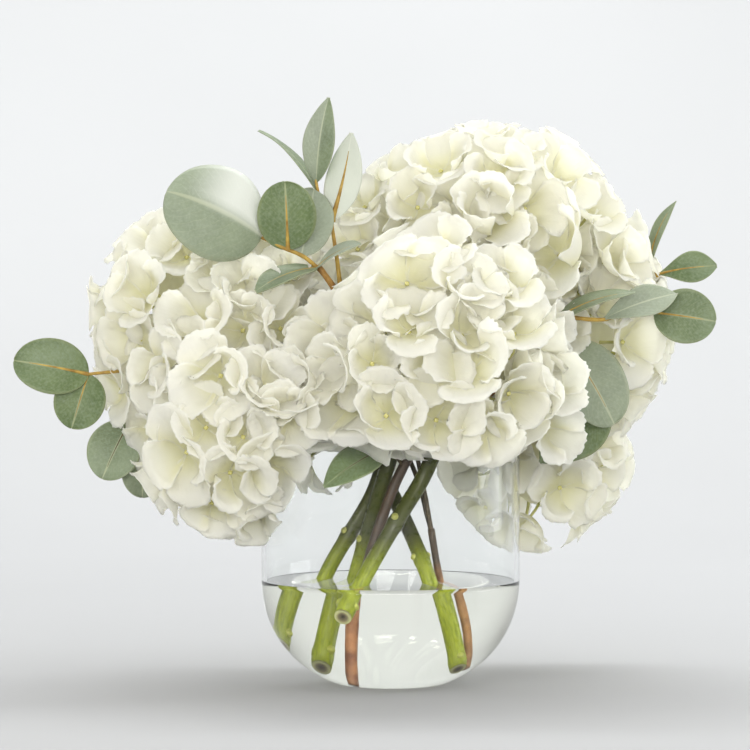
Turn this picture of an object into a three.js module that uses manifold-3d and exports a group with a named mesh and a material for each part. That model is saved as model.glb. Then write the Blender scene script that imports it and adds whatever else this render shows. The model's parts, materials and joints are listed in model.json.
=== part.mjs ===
// A table centrepiece: seven white hydrangea heads on four stems, and two sprays of eucalyptus, in a
// round-bottomed glass vase of water. Millimetres, +Z up, +Y away from the front.
// The origin is the middle of the flat spot that the vase stands on.
import * as THREE from "three";
import { mergeVertices } from "three/addons/utils/BufferGeometryUtils.js";
import Module from "manifold-3d";

const wasm = await Module();
wasm.setup();

// Vase and water
const VASE_RADIUS = 80;
const VASE_HEIGHT = 155;
const WALL = 3;
const BOWL_HEIGHT = 65; // the straight wall starts here
const BOWL_DROP = 71; // depth of the whole bowl, which the table's plane cuts flat
const BOWL_FULLNESS = 2.15; // 2 would make the bowl's outline an ellipse
const BOWL_STEPS = 6;
const LIP_STEPS = 4;
const BASE_THICKNESS = 5;
const WATER_LEVEL = 63;
const LATHE_SIDES = 24;
const GAP = 0.35; // clearance between pieces that touch

// Hydrangea stems: routes from the cut end up into the heads, with the branches that fork off.
const STEM_SIDES = 6;
const STEM_RADIUS = 4.8;
const BRANCH_RADIUS = 4;
const SHOOT_STEP = 24; // length of one straight piece of a stem or shoot
const THIN_SHOOT = 2; // shoots up to this radius have fewer sides
const THIN_SIDES = 4;
const HEAD_STEMS = [
  {
    name: "front",
    shoots: [
      {
        radius: 6,
        points: [
          [-26, -44, 47], [-17, -39, 66], [4, -29, 102], [21, -22, 130], [31, -34, 160], [33, -44, 188],
        ],
      },
    ],
  },
  {
    name: "middle",
    shoots: [
      {
        radius: STEM_RADIUS,
        points: [
          [-32, 8, 26], [-21, 8, 68], [-9, -3, 110], [-3, -10, 130], [6, -9, 158], [28, 2, 205],
          [52, 14, 255],
        ],
      },
      { radius: BRANCH_RADIUS, points: [[8, -8, 162], [10, 8, 181], [-8, 36, 192], [-34, 67, 193]] },
    ],
  },
  {
    name: "left",
    shoots: [
      {
        radius: STEM_RADIUS,
        points: [
          [-52, 12, 33], [-40, 12, 66], [-13, 8, 112], [0, 6, 140], [34, 14, 168], [78, 26, 202],
          [102, 32, 214],
        ],
      },
      { radius: BRANCH_RADIUS, points: [[40, 16, 172], [58, 38, 176], [76, 60, 162], [86, 71, 148]] },
    ],
  },
  {
    name: "right",
    shoots: [
      {
        radius: STEM_RADIUS,
        points: [
          [36, -16, 19], [23, -22, 66], [7, 5, 104], [-4, 18.5, 125], [-14, 21, 143], [-44, 4, 170],
          [-74, -9, 170],
        ],
      },
      {
        radius: BRANCH_RADIUS,
        points: [
          [-16, 20, 145], [-40, 26, 176], [-80, 26, 206], [-104, 25, 222],
        ],
      },
    ],
  },
];

// Hydrangea heads: middle and outer radii of the ellipsoid that the florets fill, how many florets
// would cover it all round, and the side that its stem comes in from.
const HEADS = [
  { name: "front", centre: [32, -50, 200], radii: [79, 62, 72], florets: 21, stemFrom: [0, 0.6, -1] },
  { name: "top", centre: [64, 20, 282], radii: [83, 62, 65], florets: 21, stemFrom: [-0.6, -0.2, -1] },
  { name: "right", centre: [117, 35, 219], radii: [62, 60, 62], florets: 16, stemFrom: [-1, -0.2, -0.5] },
  { name: "left_low", centre: [-93, -15, 159], radii: [71, 60, 72], florets: 19, stemFrom: [1, 0.4, 0.1] },
  { name: "left_high", centre: [-121, 25, 232], radii: [69, 60, 65], florets: 19, stemFrom: [1, 0, -0.6] },
  { name: "right_low", centre: [98, 82, 133], radii: [56, 54, 54], florets: 14, stemFrom: [-1, -1, 1] },
  { name: "back", centre: [-39, 76, 193], radii: [65, 60, 80], florets: 19, stemFrom: [0.6, -1, 0] },
];
const CORE_SHARE = 0.56; // the dense middle of a head, against its outer radii
const SEAT_SHARE = 0.85; // where a floret's middle sits, against the same radii
const HIDDEN_SHARE = 0.84; // a floret this deep inside a neighbour is left out
const FLORET_RADIUS = 28;
const FLORET_CUP = 9; // how far the rim stands above the middle
const ROOT_DEPTH = 25; // from a floret's middle to the end of its root, in the core
const NECK_ANGLE = 0.4; // radians round the stem with no florets
const RIM_CLEARANCE = 6; // from a floret's middle to the vase
const HANGS_OVER = 0.55; // share of the vase's radius past which florets hang over its rim

// Eucalyptus sprays: routes of the stem and its side shoots, with their radii, and the leaves.
// A leaf is its base, its tip, its width and which way its upper face looks.
const SPRAYS = [
  {
    name: "right",
    shoots: [
      {
        radius: 3.2,
        points: [
          [-20, -12, 10], [-19, -14, 40], [-16, -16, 66], [-6, -15, 100], [5, -13, 128], [16, -12, 146],
          [44, -6, 166], [80, -3, 196],
        ],
      },
      {
        radius: 1.6,
        points: [
          [78, -3, 194], [92, -16, 212], [101, -25, 224], [131, -21, 224], [167, -8, 226],
        ],
      },
      {
        radius: 1.6,
        points: [
          [78, -3, 194], [98, -9, 204], [108, -13, 210], [124, -8, 196], [137, -2, 176],
        ],
      },
      {
        radius: 1.6,
        points: [
          [79, -3, 195], [98, -6, 236], [125, 14, 262], [150, 30, 262], [166, 37, 260], [171, 34, 248],
        ],
      },
      { radius: 1.4, points: [[8, -12.5, 136], [0, -20, 143], [-9, -22, 148]] },
      {
        radius: 2,
        points: [
          [50, -5, 171], [39, 9, 187], [34, 42, 200], [44, 82, 220], [49, 108, 244],
        ],
      },
      { radius: 1.4, points: [[44, 82, 219], [68, 104, 216], [84, 122, 206]] },
      { radius: 1.4, points: [[49, 106, 242], [47, 114, 260], [40, 116, 276]] },
    ],
    leaves: [
      { base: [165, 37, 260], tip: [181, 30, 300], width: 17, face: [-1, -0.5, 0.3] },
      { base: [170, 34, 249], tip: [207, 26, 262], width: 20, face: [-0.3, -1, 0.5] },
      { base: [101, -25, 224], tip: [148, -34, 240], width: 21, face: [-0.3, -0.5, 1] },
      { base: [131, -21, 224], tip: [175, -16, 240], width: 19, face: [-0.3, -0.8, 0.7] },
      { base: [166, -8, 226], tip: [200, -12, 223], width: 34, face: [0.1, -1, 0.1] },
      { base: [108, -13, 209], tip: [137, -20, 160], width: 42, face: [0.3, -1, 0.2] },
      { base: [137, -2, 176], tip: [92, -8, 136], width: 41, face: [0.1, -1, -0.2] },
      { base: [-8, -22, 148], tip: [-40, -50, 135], width: 24, face: [0.3, -0.6, 0.8] },
      { base: [49, 107, 242], tip: [82, 124, 258], width: 36, face: [-0.1, 1, 0.2] },
      { base: [48, 110, 250], tip: [14, 124, 262], width: 34, face: [0.1, 1, 0.4] },
      { base: [41, 116, 274], tip: [40, 122, 316], width: 26, face: [0.1, 1, -0.2] },
      { base: [72, 104, 214], tip: [62, 132, 188], width: 36, face: [-0.2, 1, 0.4] },
      { base: [83, 121, 206], tip: [116, 134, 202], width: 34, face: [0.3, 1, 0.2] },
    ],
  },
  {
    name: "left",
    shoots: [
      { radius: 2.4, points: [[40, -9, 19], [37, -8, 40], [30, -5, 66], [25, -4, 95]] },
      {
        radius: 1.6,
        points: [
          [25, -4, 93], [20, -4, 122], [14, -2, 147], [4, 3, 162], [-6, -1, 176], [-20, -14, 204],
          [-31, -23, 235],
        ],
      },
      { radius: 1.5, points: [[-31, -23, 234], [-33, -22, 262], [-36, -18, 284], [-35, -16, 290]] },
      { radius: 1.4, points: [[-35.5, -18.5, 282], [-44, -14, 300], [-46.5, -12, 314]] },
      {
        radius: 2.2,
        points: [
          [-31, -23, 234], [-38, -26, 248], [-44, -29, 256], [-53, -29, 262], [-65, -32, 267],
          [-79, -34, 272],
        ],
      },
      {
        radius: 1.6,
        points: [
          [25, -4, 93], [22, 0, 106], [18, 6, 122], [8, 17, 145], [-4, 20, 162], [-25, 14, 184],
          [-60, 8, 194], [-107, 5, 197], [-150, 0, 194], [-193, -3, 190],
        ],
      },
      { radius: 1.5, points: [[-118, 4, 197], [-148, 2, 178], [-162, 0, 160], [-149, 4, 142]] },
      { radius: 1.6, points: [[-30, 13, 186], [-52, 40, 216], [-82, 60, 240], [-108, 66, 252]] },
      { radius: 1.4, points: [[-106, 66, 251], [-138, 54, 256], [-155, 50, 256]] },
      { radius: 1.4, points: [[-106, 66, 251], [-112, 88, 262], [-118, 98, 278]] },
    ],
    leaves: [
      { base: [-192, -3, 190], tip: [-232, -10, 199], width: 35, face: [0.1, -1, 0.2] },
      { base: [-187, -2, 189], tip: [-197, -6, 157], width: 32, face: [0.1, -1, 0.2] },
      { base: [-162, 0, 161], tip: [-178, -8, 126], width: 34, face: [-0.1, -1, 0.2] },
      { base: [-149, 3, 144], tip: [-154, 0, 114], width: 27, face: [0.1, -1, 0.1] },
      { base: [-46.5, -12, 311], tip: [-38, -18, 360], width: 21, face: [-0.4, -1, 0.1] },
      { base: [-35, -16, 287], tip: [-24, -22, 338], width: 23, face: [0.3, 1, 0.1] },
      { base: [-45, -13.5, 302], tip: [-80, 4, 342], width: 19, face: [0.7, 0.3, 0.6] },
      { base: [-64, -32, 266], tip: [-64, -38, 307], width: 36, face: [0.1, -1, -0.1] },
      { base: [-54, -29, 262], tip: [-43, -16, 304], width: 33, face: [0.2, -1, 0.3] },
      { base: [-77, -34, 272], tip: [-131, -46, 302], width: 60, face: [0.1, -1, 0.3] },
      { base: [-44, -29, 256], tip: [-81, -52, 240], width: 23, face: [-0.3, -0.2, 1] },
      { base: [-44, -29, 256], tip: [-18, -46, 269], width: 18, face: [-0.3, -0.3, 1] },
      { base: [-153, 50, 256], tip: [-172, 44, 272], width: 14, face: [0.4, -0.3, 1] },
      { base: [-112, 87, 261], tip: [-146, 100, 262], width: 34, face: [-0.2, 1, 0.5] },
      { base: [-113, 89, 263], tip: [-84, 114, 256], width: 32, face: [0.2, 0.8, 0.6] },
      { base: [-117, 97, 276], tip: [-130, 110, 312], width: 27, face: [0.1, 1, -0.3] },
    ],
  },
];
const LEAF_THICKNESS = 0.9;
const LEAF_STEPS = 4;
const LEAF_ARCH = 0.1; // how far the middle stands above a straight line, against the length
const LEAF_FOLD = 0.12; // how far the midrib lies below the edges, against half the width
const LEAF_END = 0.08; // width of the ends, against the widest
const ROUND_LEAF = 0.7; // a leaf at least this wide for its length has a round outline

const GREEN_STEM = new THREE.MeshStandardMaterial({ color: 0x6f8f2c, roughness: 0.45 });
const PETAL_WHITE = new THREE.MeshStandardMaterial({ color: 0xf6f3e4, roughness: 0.6 });
const LEAF_GREEN = new THREE.MeshStandardMaterial({ color: 0x7f9d7c, roughness: 0.65 });
const CLEAR = { roughness: 0.02, transparent: true, opacity: 0.3 };
const GLASS = new THREE.MeshStandardMaterial({ color: 0xeef4f2, ...CLEAR });
const WATER = new THREE.MeshStandardMaterial({ color: 0xf3f6ef, ...CLEAR });

// Solids and geometries

function solidOf(geometry) {
  const plain = geometry.clone();
  plain.deleteAttribute("normal");
  plain.deleteAttribute("uv");
  const merged = mergeVertices(plain, 1e-3);
  return new wasm.Manifold(
    new wasm.Mesh({
      numProp: 3,
      vertProperties: new Float32Array(merged.attributes.position.array),
      triVerts: new Uint32Array(merged.index.array),
    }),
  );
}

function geometryOf(solid) {
  const mesh = solid.getMesh();
  return new THREE.BufferGeometry()
    .setAttribute("position", new THREE.BufferAttribute(Float32Array.from(mesh.vertProperties), 3))
    .setIndex(new THREE.BufferAttribute(Uint32Array.from(mesh.triVerts), 1));
}

function joined(solids) {
  return solids.reduce((all, one) => all.add(one));
}

function cutBy(solid, cutters) {
  return cutters.reduce((left, cutter) => left.subtract(cutter), solid);
}

// The largest body of a solid: scraps that a cut leaves loose are dropped.
function largestBody(solid) {
  return solid.decompose().sort((a, b) => b.volume() - a.volume())[0];
}

// A repeatable draw from 0 to 1 for floret i of head h.
function draw(h, i, k) {
  const x = Math.sin(h * 127.1 + i * 311.7 + k * 74.7) * 43758.5453;
  return x - Math.floor(x);
}

// Stems and shoots

// The point nearest to a place on the middle lines of some shoots, a little short of their ends.
function nearestOn(lines, place) {
  const SHORT = 2;
  let best = lines[0][0];
  for (const line of lines) {
    for (let i = 1; i < line.length; i++) {
      const step = line[i].clone().sub(line[i - 1]);
      const length = step.length();
      const reach = place.clone().sub(line[i - 1]).dot(step) / length;
      const share = THREE.MathUtils.clamp(reach, 0, length - SHORT) / length;
      const point = line[i - 1].clone().addScaledVector(step, share);
      if (point.distanceTo(place) < best.distanceTo(place)) best = point;
    }
  }
  return best;
}

// The smooth route of each shoot. One that forks off starts on the middle line of those before it.
function routesOf(shoots) {
  const lines = [];
  return shoots.map(({ radius, points }) => {
    const places = points.map((p) => new THREE.Vector3(...p));
    if (lines.length) places[0] = nearestOn(lines, places[0]);
    const path = new THREE.CatmullRomCurve3(places, false, "centripetal");
    const steps = Math.max(3, Math.round(path.getLength() / SHOOT_STEP));
    const line = path.getSpacedPoints(steps);
    lines.push(line);
    return { radius, path, steps, line };
  });
}

function tube({ path, steps, radius }, grow) {
  const sides = radius > THIN_SHOOT ? STEM_SIDES : THIN_SIDES;
  const wide = radius + grow;
  const corners = Array.from({ length: sides }, (_, i) => {
    const angle = (2 * Math.PI * i) / sides;
    return new THREE.Vector2(wide * Math.cos(angle), wide * Math.sin(angle));
  });
  const section = new THREE.Shape(corners);
  const geometry = new THREE.ExtrudeGeometry(section, { extrudePath: path, steps, bevelEnabled: false });
  if (grow) moveEnds(geometry, path, wide, grow);
  return solidOf(geometry);
}

// Lengthens a tube at both ends.
function moveEnds(geometry, path, radius, grow) {
  const place = geometry.getAttribute("position");
  for (const share of [0, 1]) {
    const end = path.getPointAt(share);
    const outward = path.getTangentAt(share).multiplyScalar(share ? 1 : -1);
    for (let i = 0; i < place.count; i++) {
      const point = new THREE.Vector3().fromBufferAttribute(place, i);
      if (point.distanceTo(end) > 1.1 * radius) continue;
      point.addScaledVector(outward, grow);
      place.setXYZ(i, point.x, point.y, point.z);
    }
  }
}

function stem({ shoots }, grow) {
  return joined(routesOf(shoots).map((route) => tube(route, grow)));
}

// Leaves

// Half the leaf's width at share t of its length, against its widest: round or lance-shaped.
function leafOutline(t, round) {
  const circle = Math.sqrt(Math.max(0, 1 - (2 * t - 1) ** 2));
  const lance = Math.sin(Math.PI * t ** 0.85) ** 0.9;
  return Math.max(LEAF_END, round ? circle : lance);
}

function leaf({ base, tip, width, face }, lines, grow) {
  const from = nearestOn(lines, new THREE.Vector3(...base));
  const along = new THREE.Vector3(...tip).sub(from);
  const length = along.length();
  along.normalize();
  const across = new THREE.Vector3(...face).cross(along).normalize();
  const up = along.clone().cross(across);
  const round = width >= ROUND_LEAF * length;
  const blade = new THREE.BoxGeometry(1, 1, 1, LEAF_STEPS, 2, 1);
  const place = blade.getAttribute("position");
  for (let i = 0; i < place.count; i++) {
    const t = place.getX(i) + 0.5;
    const eased = (1 - Math.cos(Math.PI * t)) / 2;
    const half = (width / 2) * leafOutline(eased, round) + grow;
    const side = 2 * place.getY(i);
    const arch = LEAF_ARCH * length * 4 * eased * (1 - eased) - LEAF_FOLD * half * (1 - side * side);
    const point = from
      .clone()
      .addScaledVector(along, eased * length + (2 * t - 1) * grow)
      .addScaledVector(across, side * half)
      .addScaledVector(up, arch + place.getZ(i) * (LEAF_THICKNESS + 2 * grow));
    place.setXYZ(i, point.x, point.y, point.z);
  }
  return solidOf(blade);
}

function spray({ shoots, leaves }, grow) {
  const routes = routesOf(shoots);
  const lines = routes.map((route) => route.line);
  const tubes = routes.map((route) => tube(route, grow));
  return joined([...tubes, ...leaves.map((one) => leaf(one, lines, grow))]);
}

// Hydrangea heads

// How far out a point is in a head: 0 at its middle and 1 at its outer ellipsoid.
function shareIn(head, point) {
  return Math.hypot(...head.centre.map((c, k) => (point.getComponent(k) - c) / head.radii[k]));
}

function inVase(point, margin) {
  return Math.hypot(point.x, point.y) < VASE_RADIUS + margin && point.z < VASE_HEIGHT + margin;
}

// Where a head's florets sit: middle, outward direction, size, spin and cup. Directions run round
// a spiral that spreads them evenly; those hidden in a neighbour or round the stem are left out.
function floretsOf(head, h) {
  const found = [];
  const turn = Math.PI * (3 - Math.sqrt(5));
  const neck = new THREE.Vector3(...head.stemFrom);
  for (let i = 0; i < head.florets; i++) {
    const z = 1 - (2 * (i + 0.5)) / head.florets;
    const ring = Math.sqrt(1 - z * z);
    const angle = i * turn + h * 1.7 + 0.3 * (draw(h, i, 0) - 0.5);
    const out = new THREE.Vector3(ring * Math.cos(angle), ring * Math.sin(angle), z);
    const seat = SEAT_SHARE + 0.08 * (draw(h, i, 1) - 0.5);
    const middle = new THREE.Vector3(...head.radii).multiply(out).multiplyScalar(seat);
    middle.add(new THREE.Vector3(...head.centre));
    const hidden = HEADS.some((other) => other !== head && shareIn(other, middle) < HIDDEN_SHARE);
    if (hidden || out.angleTo(neck) < NECK_ANGLE || !hangClear(middle, out)) continue;
    const lean = new THREE.Vector3(draw(h, i, 2) - 0.5, draw(h, i, 3) - 0.5, draw(h, i, 4) - 0.4);
    found.push({
      middle,
      out: out.addScaledVector(lean, 0.4).normalize(),
      radius: FLORET_RADIUS * (0.9 + 0.2 * draw(h, i, 5)),
      spin: 2 * Math.PI * draw(h, i, 6),
      cup: FLORET_CUP * (0.5 + 1.1 * draw(h, i, 7)),
      draws: (k) => draw(h, i, k),
    });
  }
  return found;
}

// Turns a floret whose middle lies just inside the rim outward, to hang over it. False if it lies
// further in.
function hangClear(middle, out) {
  if (!inVase(middle, RIM_CLEARANCE)) return true;
  const reach = Math.hypot(middle.x, middle.y);
  if (reach < VASE_RADIUS * HANGS_OVER) return false;
  out.set(middle.x / reach, middle.y / reach, 0);
  middle.addScaledVector(out, VASE_RADIUS + RIM_CLEARANCE - reach);
  return true;
}

// One floret: four cupped lobes on a root that tapers into the head's core.
function floret({ middle, out, radius, spin, cup, draws }) {
  const LOBES = 4;
  const CORNERS = [
    { turn: 0, reach: 0.6, height: 0.4 }, // the notch between two lobes
    { turn: 0.27, reach: 1, height: 1 },
    { turn: 0.73, reach: 1, height: 1 },
  ];
  const count = CORNERS.length;
  const points = [new THREE.Vector3()];
  const at = (quarters, reach, height) => {
    const angle = (quarters * Math.PI) / 2;
    points.push(new THREE.Vector3(reach * Math.cos(angle), reach * Math.sin(angle), height));
  };
  for (let lobe = 0; lobe < LOBES; lobe++) at(lobe + 0.5, 0.55 * radius, 0.25 * cup);
  for (let lobe = 0; lobe < LOBES; lobe++) {
    const lift = cup * (0.5 + 1.1 * draws(10 + lobe));
    CORNERS.forEach(({ turn, reach, height }, j) => {
      at(lobe + turn, reach * radius * (0.92 + 0.14 * draws(20 + count * lobe + j)), height * lift);
    });
  }
  points.push(new THREE.Vector3(0, 0, -ROOT_DEPTH));

  const mid = (lobe) => 1 + (lobe % LOBES);
  const rim = (j) => 1 + LOBES + (j % (LOBES * count));
  const root = points.length - 1;
  const faces = [];
  for (let lobe = 0; lobe < LOBES; lobe++) {
    const first = count * lobe;
    faces.push([0, mid(lobe), mid(lobe + 1)], [mid(lobe), rim(first + count), mid(lobe + 1)]);
    for (let j = first; j < first + count; j++) {
      faces.push([mid(lobe), rim(j), rim(j + 1)], [rim(j + 1), rim(j), root]);
    }
  }

  const toHead = new THREE.Quaternion()
    .setFromUnitVectors(new THREE.Vector3(0, 0, 1), out)
    .multiply(new THREE.Quaternion().setFromAxisAngle(new THREE.Vector3(0, 0, 1), spin));
  for (const point of points) point.applyQuaternion(toHead).add(middle);
  return solidOf(new THREE.BufferGeometry().setFromPoints(points).setIndex(faces.flat()));
}

function core(head) {
  const geometry = new THREE.IcosahedronGeometry(1, 1)
    .scale(...head.radii.map((r) => r * CORE_SHARE))
    .translate(...head.centre);
  return solidOf(geometry);
}

// The part of a solid on its head's side of the plane that parts it from each neighbour.
function partedFromNeighbours(solid, head) {
  const centre = new THREE.Vector3(...head.centre);
  let kept = solid;
  for (const other of HEADS) {
    const away = new THREE.Vector3(...other.centre).sub(centre);
    const distance = away.length();
    const reach = (one) => Math.hypot(...one.radii.map((r, k) => (r * away.getComponent(k)) / distance));
    if (other === head || distance > reach(head) + reach(other)) continue;
    away.divideScalar(distance);
    const plane = centre.dot(away) + (distance * reach(head)) / (reach(head) + reach(other)) - GAP / 2;
    kept = kept.trimByPlane(away.negate().toArray(), -plane);
  }
  return kept;
}

function hydrangea(head, h, cutters) {
  const whole = joined([core(head), ...floretsOf(head, h).map((one) => floret(one))]);
  return largestBody(cutBy(partedFromNeighbours(whole, head), cutters));
}

// Vase and water

// The bowl's outline from a lowest height up to the straight wall.
function bowlOutline(radius, drop, lowest) {
  const start = Math.acos(((BOWL_HEIGHT - lowest) / drop) ** (BOWL_FULLNESS / 2));
  return Array.from({ length: BOWL_STEPS + 1 }, (_, i) => {
    const angle = start + ((Math.PI / 2 - start) * i) / BOWL_STEPS;
    const across = Math.sin(angle) ** (2 / BOWL_FULLNESS);
    const down = Math.max(0, Math.cos(angle)) ** (2 / BOWL_FULLNESS);
    return new THREE.Vector2(radius * across, BOWL_HEIGHT - drop * down);
  });
}

function turned(profile) {
  return solidOf(new THREE.LatheGeometry(profile, LATHE_SIDES).rotateX(Math.PI / 2));
}

function vaseShape() {
  const outside = bowlOutline(VASE_RADIUS, BOWL_DROP, 0);
  const inside = bowlOutline(VASE_RADIUS - WALL, BOWL_DROP - WALL, BASE_THICKNESS).reverse();
  const lip = Array.from({ length: LIP_STEPS + 1 }, (_, i) => {
    const angle = (Math.PI * i) / LIP_STEPS;
    return new THREE.Vector2(
      VASE_RADIUS - WALL / 2 + (WALL / 2) * Math.cos(angle),
      VASE_HEIGHT - WALL / 2 + (WALL / 2) * Math.sin(angle),
    );
  });
  const floor = new THREE.Vector2(0, BASE_THICKNESS);
  return turned([new THREE.Vector2(0, 0), ...outside, ...lip, ...inside, floor]);
}

function waterShape() {
  const lowest = BASE_THICKNESS + GAP;
  const edge = bowlOutline(VASE_RADIUS - WALL - GAP, BOWL_DROP - WALL - GAP, lowest);
  const filled = turned([new THREE.Vector2(0, lowest), ...edge, new THREE.Vector2(0, BOWL_HEIGHT)]);
  return filled.trimByPlane([0, 0, -1], -WATER_LEVEL);
}

// Everything up to the rim, and a little more, that the heads keep clear of.
function vaseSpace() {
  const height = VASE_HEIGHT + GAP;
  const radius = VASE_RADIUS + 2 * GAP;
  const cylinder = new THREE.CylinderGeometry(radius, radius, height, LATHE_SIDES);
  return solidOf(cylinder.rotateX(Math.PI / 2).translate(0, 0, height / 2));
}

// The centrepiece

const centrepiece = new THREE.Group();

function show(name, solid, material) {
  const mesh = new THREE.Mesh(geometryOf(solid), material);
  mesh.name = name;
  centrepiece.add(mesh);
}

const standing = [...HEAD_STEMS.map((one) => stem(one, GAP)), ...SPRAYS.map((one) => spray(one, GAP))];
const kept = [...standing, vaseSpace()];

show("vase", vaseShape(), GLASS);
show("water", cutBy(waterShape(), standing), WATER);
HEAD_STEMS.forEach((one) => show(`stem_${one.name}`, stem(one, 0), GREEN_STEM));
HEADS.forEach((head, h) => show(`hydrangea_${head.name}`, hydrangea(head, h, kept), PETAL_WHITE));
SPRAYS.forEach((one) => show(`eucalyptus_${one.name}`, spray(one, 0), LEAF_GREEN));

export default centrepiece;
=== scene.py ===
import functools
import json
import math
from dataclasses import dataclass

import bpy
import numpy as np
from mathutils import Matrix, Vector

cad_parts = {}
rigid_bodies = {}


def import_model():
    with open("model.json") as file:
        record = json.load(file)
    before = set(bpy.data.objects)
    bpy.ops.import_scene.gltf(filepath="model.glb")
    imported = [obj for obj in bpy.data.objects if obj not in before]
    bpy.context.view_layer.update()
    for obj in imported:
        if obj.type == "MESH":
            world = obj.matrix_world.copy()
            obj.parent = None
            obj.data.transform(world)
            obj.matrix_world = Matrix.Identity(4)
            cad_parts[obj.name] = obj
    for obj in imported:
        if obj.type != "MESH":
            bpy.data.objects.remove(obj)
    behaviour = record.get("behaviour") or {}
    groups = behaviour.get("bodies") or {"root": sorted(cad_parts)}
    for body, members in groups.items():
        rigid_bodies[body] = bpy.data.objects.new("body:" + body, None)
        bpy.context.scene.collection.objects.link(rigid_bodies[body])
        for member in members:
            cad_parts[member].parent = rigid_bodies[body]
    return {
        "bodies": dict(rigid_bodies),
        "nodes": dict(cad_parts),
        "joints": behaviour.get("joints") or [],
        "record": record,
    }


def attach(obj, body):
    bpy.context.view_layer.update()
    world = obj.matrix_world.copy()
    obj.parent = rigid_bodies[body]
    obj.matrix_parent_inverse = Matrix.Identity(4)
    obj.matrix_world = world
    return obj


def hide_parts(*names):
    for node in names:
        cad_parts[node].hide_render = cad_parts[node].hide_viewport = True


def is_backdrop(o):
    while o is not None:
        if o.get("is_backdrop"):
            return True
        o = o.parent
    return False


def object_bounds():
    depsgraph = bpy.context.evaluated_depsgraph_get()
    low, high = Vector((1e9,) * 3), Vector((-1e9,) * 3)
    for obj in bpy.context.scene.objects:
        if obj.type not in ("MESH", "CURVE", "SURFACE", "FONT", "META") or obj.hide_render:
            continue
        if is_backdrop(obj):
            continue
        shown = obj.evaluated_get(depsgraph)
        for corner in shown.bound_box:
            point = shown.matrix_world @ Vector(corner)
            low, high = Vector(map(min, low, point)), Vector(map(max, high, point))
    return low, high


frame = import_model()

CAD_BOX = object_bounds()
MM = 0.001

# Vase and water
VASE_RADIUS = 80.0
VASE_HEIGHT = 155.0
WALL = 3.0
BOWL_HEIGHT = 65.0  # the straight wall starts here
BOWL_DROP = 71.0  # depth of the whole bowl, which the table's plane cuts flat
BOWL_FULLNESS = 2.15
BASE_THICKNESS = 5.0
BOWL_STEPS = 40
WALL_RINGS = (68.0, 90.0, 115.0, 140.0, 150.0, 153.0)  # these keep the wall's shading straight
WATER_LEVEL = 63.0
WATER_OVERLAP = 0.06  # the water reaches this far into the glass, so that no air shows between them
LATHE_SIDES = 144

# Camera, level with the flowers
CAMERA_PLACE = np.array([-9.6, -1500.0, 190.0])
FOCAL_PIXELS = 2419.0
IMAGE_PIXELS = 750
SENSOR_MM = 36.0

# Green stems: routes from the cut end up into the heads, with the branches that fork off.
STEM_RADIUS = 4.8
BRANCH_RADIUS = 4.0
SLANTS = {"front": 0.55, "middle": 0.4, "left": 0.4, "right": 0.5}  # of the cut ends
SLANT_LENGTH = 10.0
HEAD_STEMS = {
    "front": [
        (4.9, [(-26, -44, 47), (-17, -39, 66), (4, -29, 102), (21, -22, 130), (31, -34, 160),
               (33, -44, 188)]),
    ],
    "middle": [
        (STEM_RADIUS, [(-32, 8, 26), (-21, 8, 68), (-9, -3, 110), (-3, -10, 130), (6, -9, 158),
                       (28, 2, 205), (52, 14, 255)]),
        (BRANCH_RADIUS, [(8, -8, 162), (10, 8, 181), (-8, 36, 192), (-34, 67, 193)]),
    ],
    "left": [
        (STEM_RADIUS, [(-52, 12, 33), (-40, 12, 66), (-13, 8, 112), (0, 6, 140), (34, 14, 168),
                       (78, 26, 202), (102, 32, 214)]),
        (BRANCH_RADIUS, [(40, 16, 172), (58, 38, 176), (76, 60, 162), (86, 71, 148)]),
    ],
    "right": [
        (STEM_RADIUS, [(36, -16, 19), (23, -22, 66), (7, 5, 104), (-4, 18.5, 125), (-14, 21, 143),
                       (-44, 4, 170), (-74, -9, 170)]),
        (BRANCH_RADIUS, [(-16, 20, 145), (-40, 26, 176), (-80, 26, 206), (-104, 25, 222)]),
    ],
}
STEM_STEP = 2.5  # between the rings of its mesh
STEM_SIDES, BRANCH_SIDES = 24, 14
STEM_NODES = (5.0, 62.0)  # swellings with bud scars, this far up from the cut end
BRANCH_NODES = (20.0,)
NODE_SWELLING, NODE_LENGTH = 0.13, 3.2


class Head:
    """A flower head: the ellipsoid that its florets fill, how many would cover it all round, and the
    side that its stem comes in from."""

    def __init__(self, name, middle, radii, florets, neck):
        self.name, self.florets = name, florets
        self.middle, self.radii = np.array(middle), np.array(radii)
        self.neck = np.array(neck) / np.linalg.norm(neck)


HEADS = [
    Head("front", (32, -50, 200), (79, 62, 72), 21, (0, 0.6, -1)),
    Head("top", (62, 20, 282), (79, 62, 65), 21, (-0.6, -0.2, -1)),
    Head("right", (116, 35, 219), (58, 60, 62), 16, (-1, -0.2, -0.5)),
    Head("left_low", (-91, -15, 160), (67, 60, 71), 19, (1, 0.4, 0.1)),
    Head("left_high", (-119, 25, 232), (65, 60, 64), 19, (1, 0, -0.6)),
    Head("right_low", (98, 82, 133), (56, 54, 54), 14, (-1, -1, 1)),
    Head("back", (-39, 76, 193), (65, 60, 80), 19, (0.6, -1, 0)),
]
SEAT_SHARE = 0.78  # where a floret's middle sits, against the head's outer radii
CORE_SHARE = 0.46
BLEND = 4.0  # a lower value fills the dips between heads more
FURTHEST = 1.15
NECK_ANGLE = 0.4
RIM_CLEARANCE = 6.0
WALL_CLEARANCE = 1.2  # petals that bend round the glass keep this far off it
WALL_REACH = 55.0  # what is nearer to the vase's axis than this isn't moved
HANGS_OVER = 0.55
HANG_HEIGHT = 11.0  # a floret that hangs over the rim has its middle this far above it
HELD_FROM = 0.88  # petals beyond this share of a head's outer radii bend in
HELD_ROOM = 0.3  # and reach no further than this beyond it
TUCK_DEPTH = 2.0  # a petal that meets a leaf goes this far behind it
TUCK_GAP = 2.8  # up to this far from the leaf's points, as seen from the front
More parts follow.
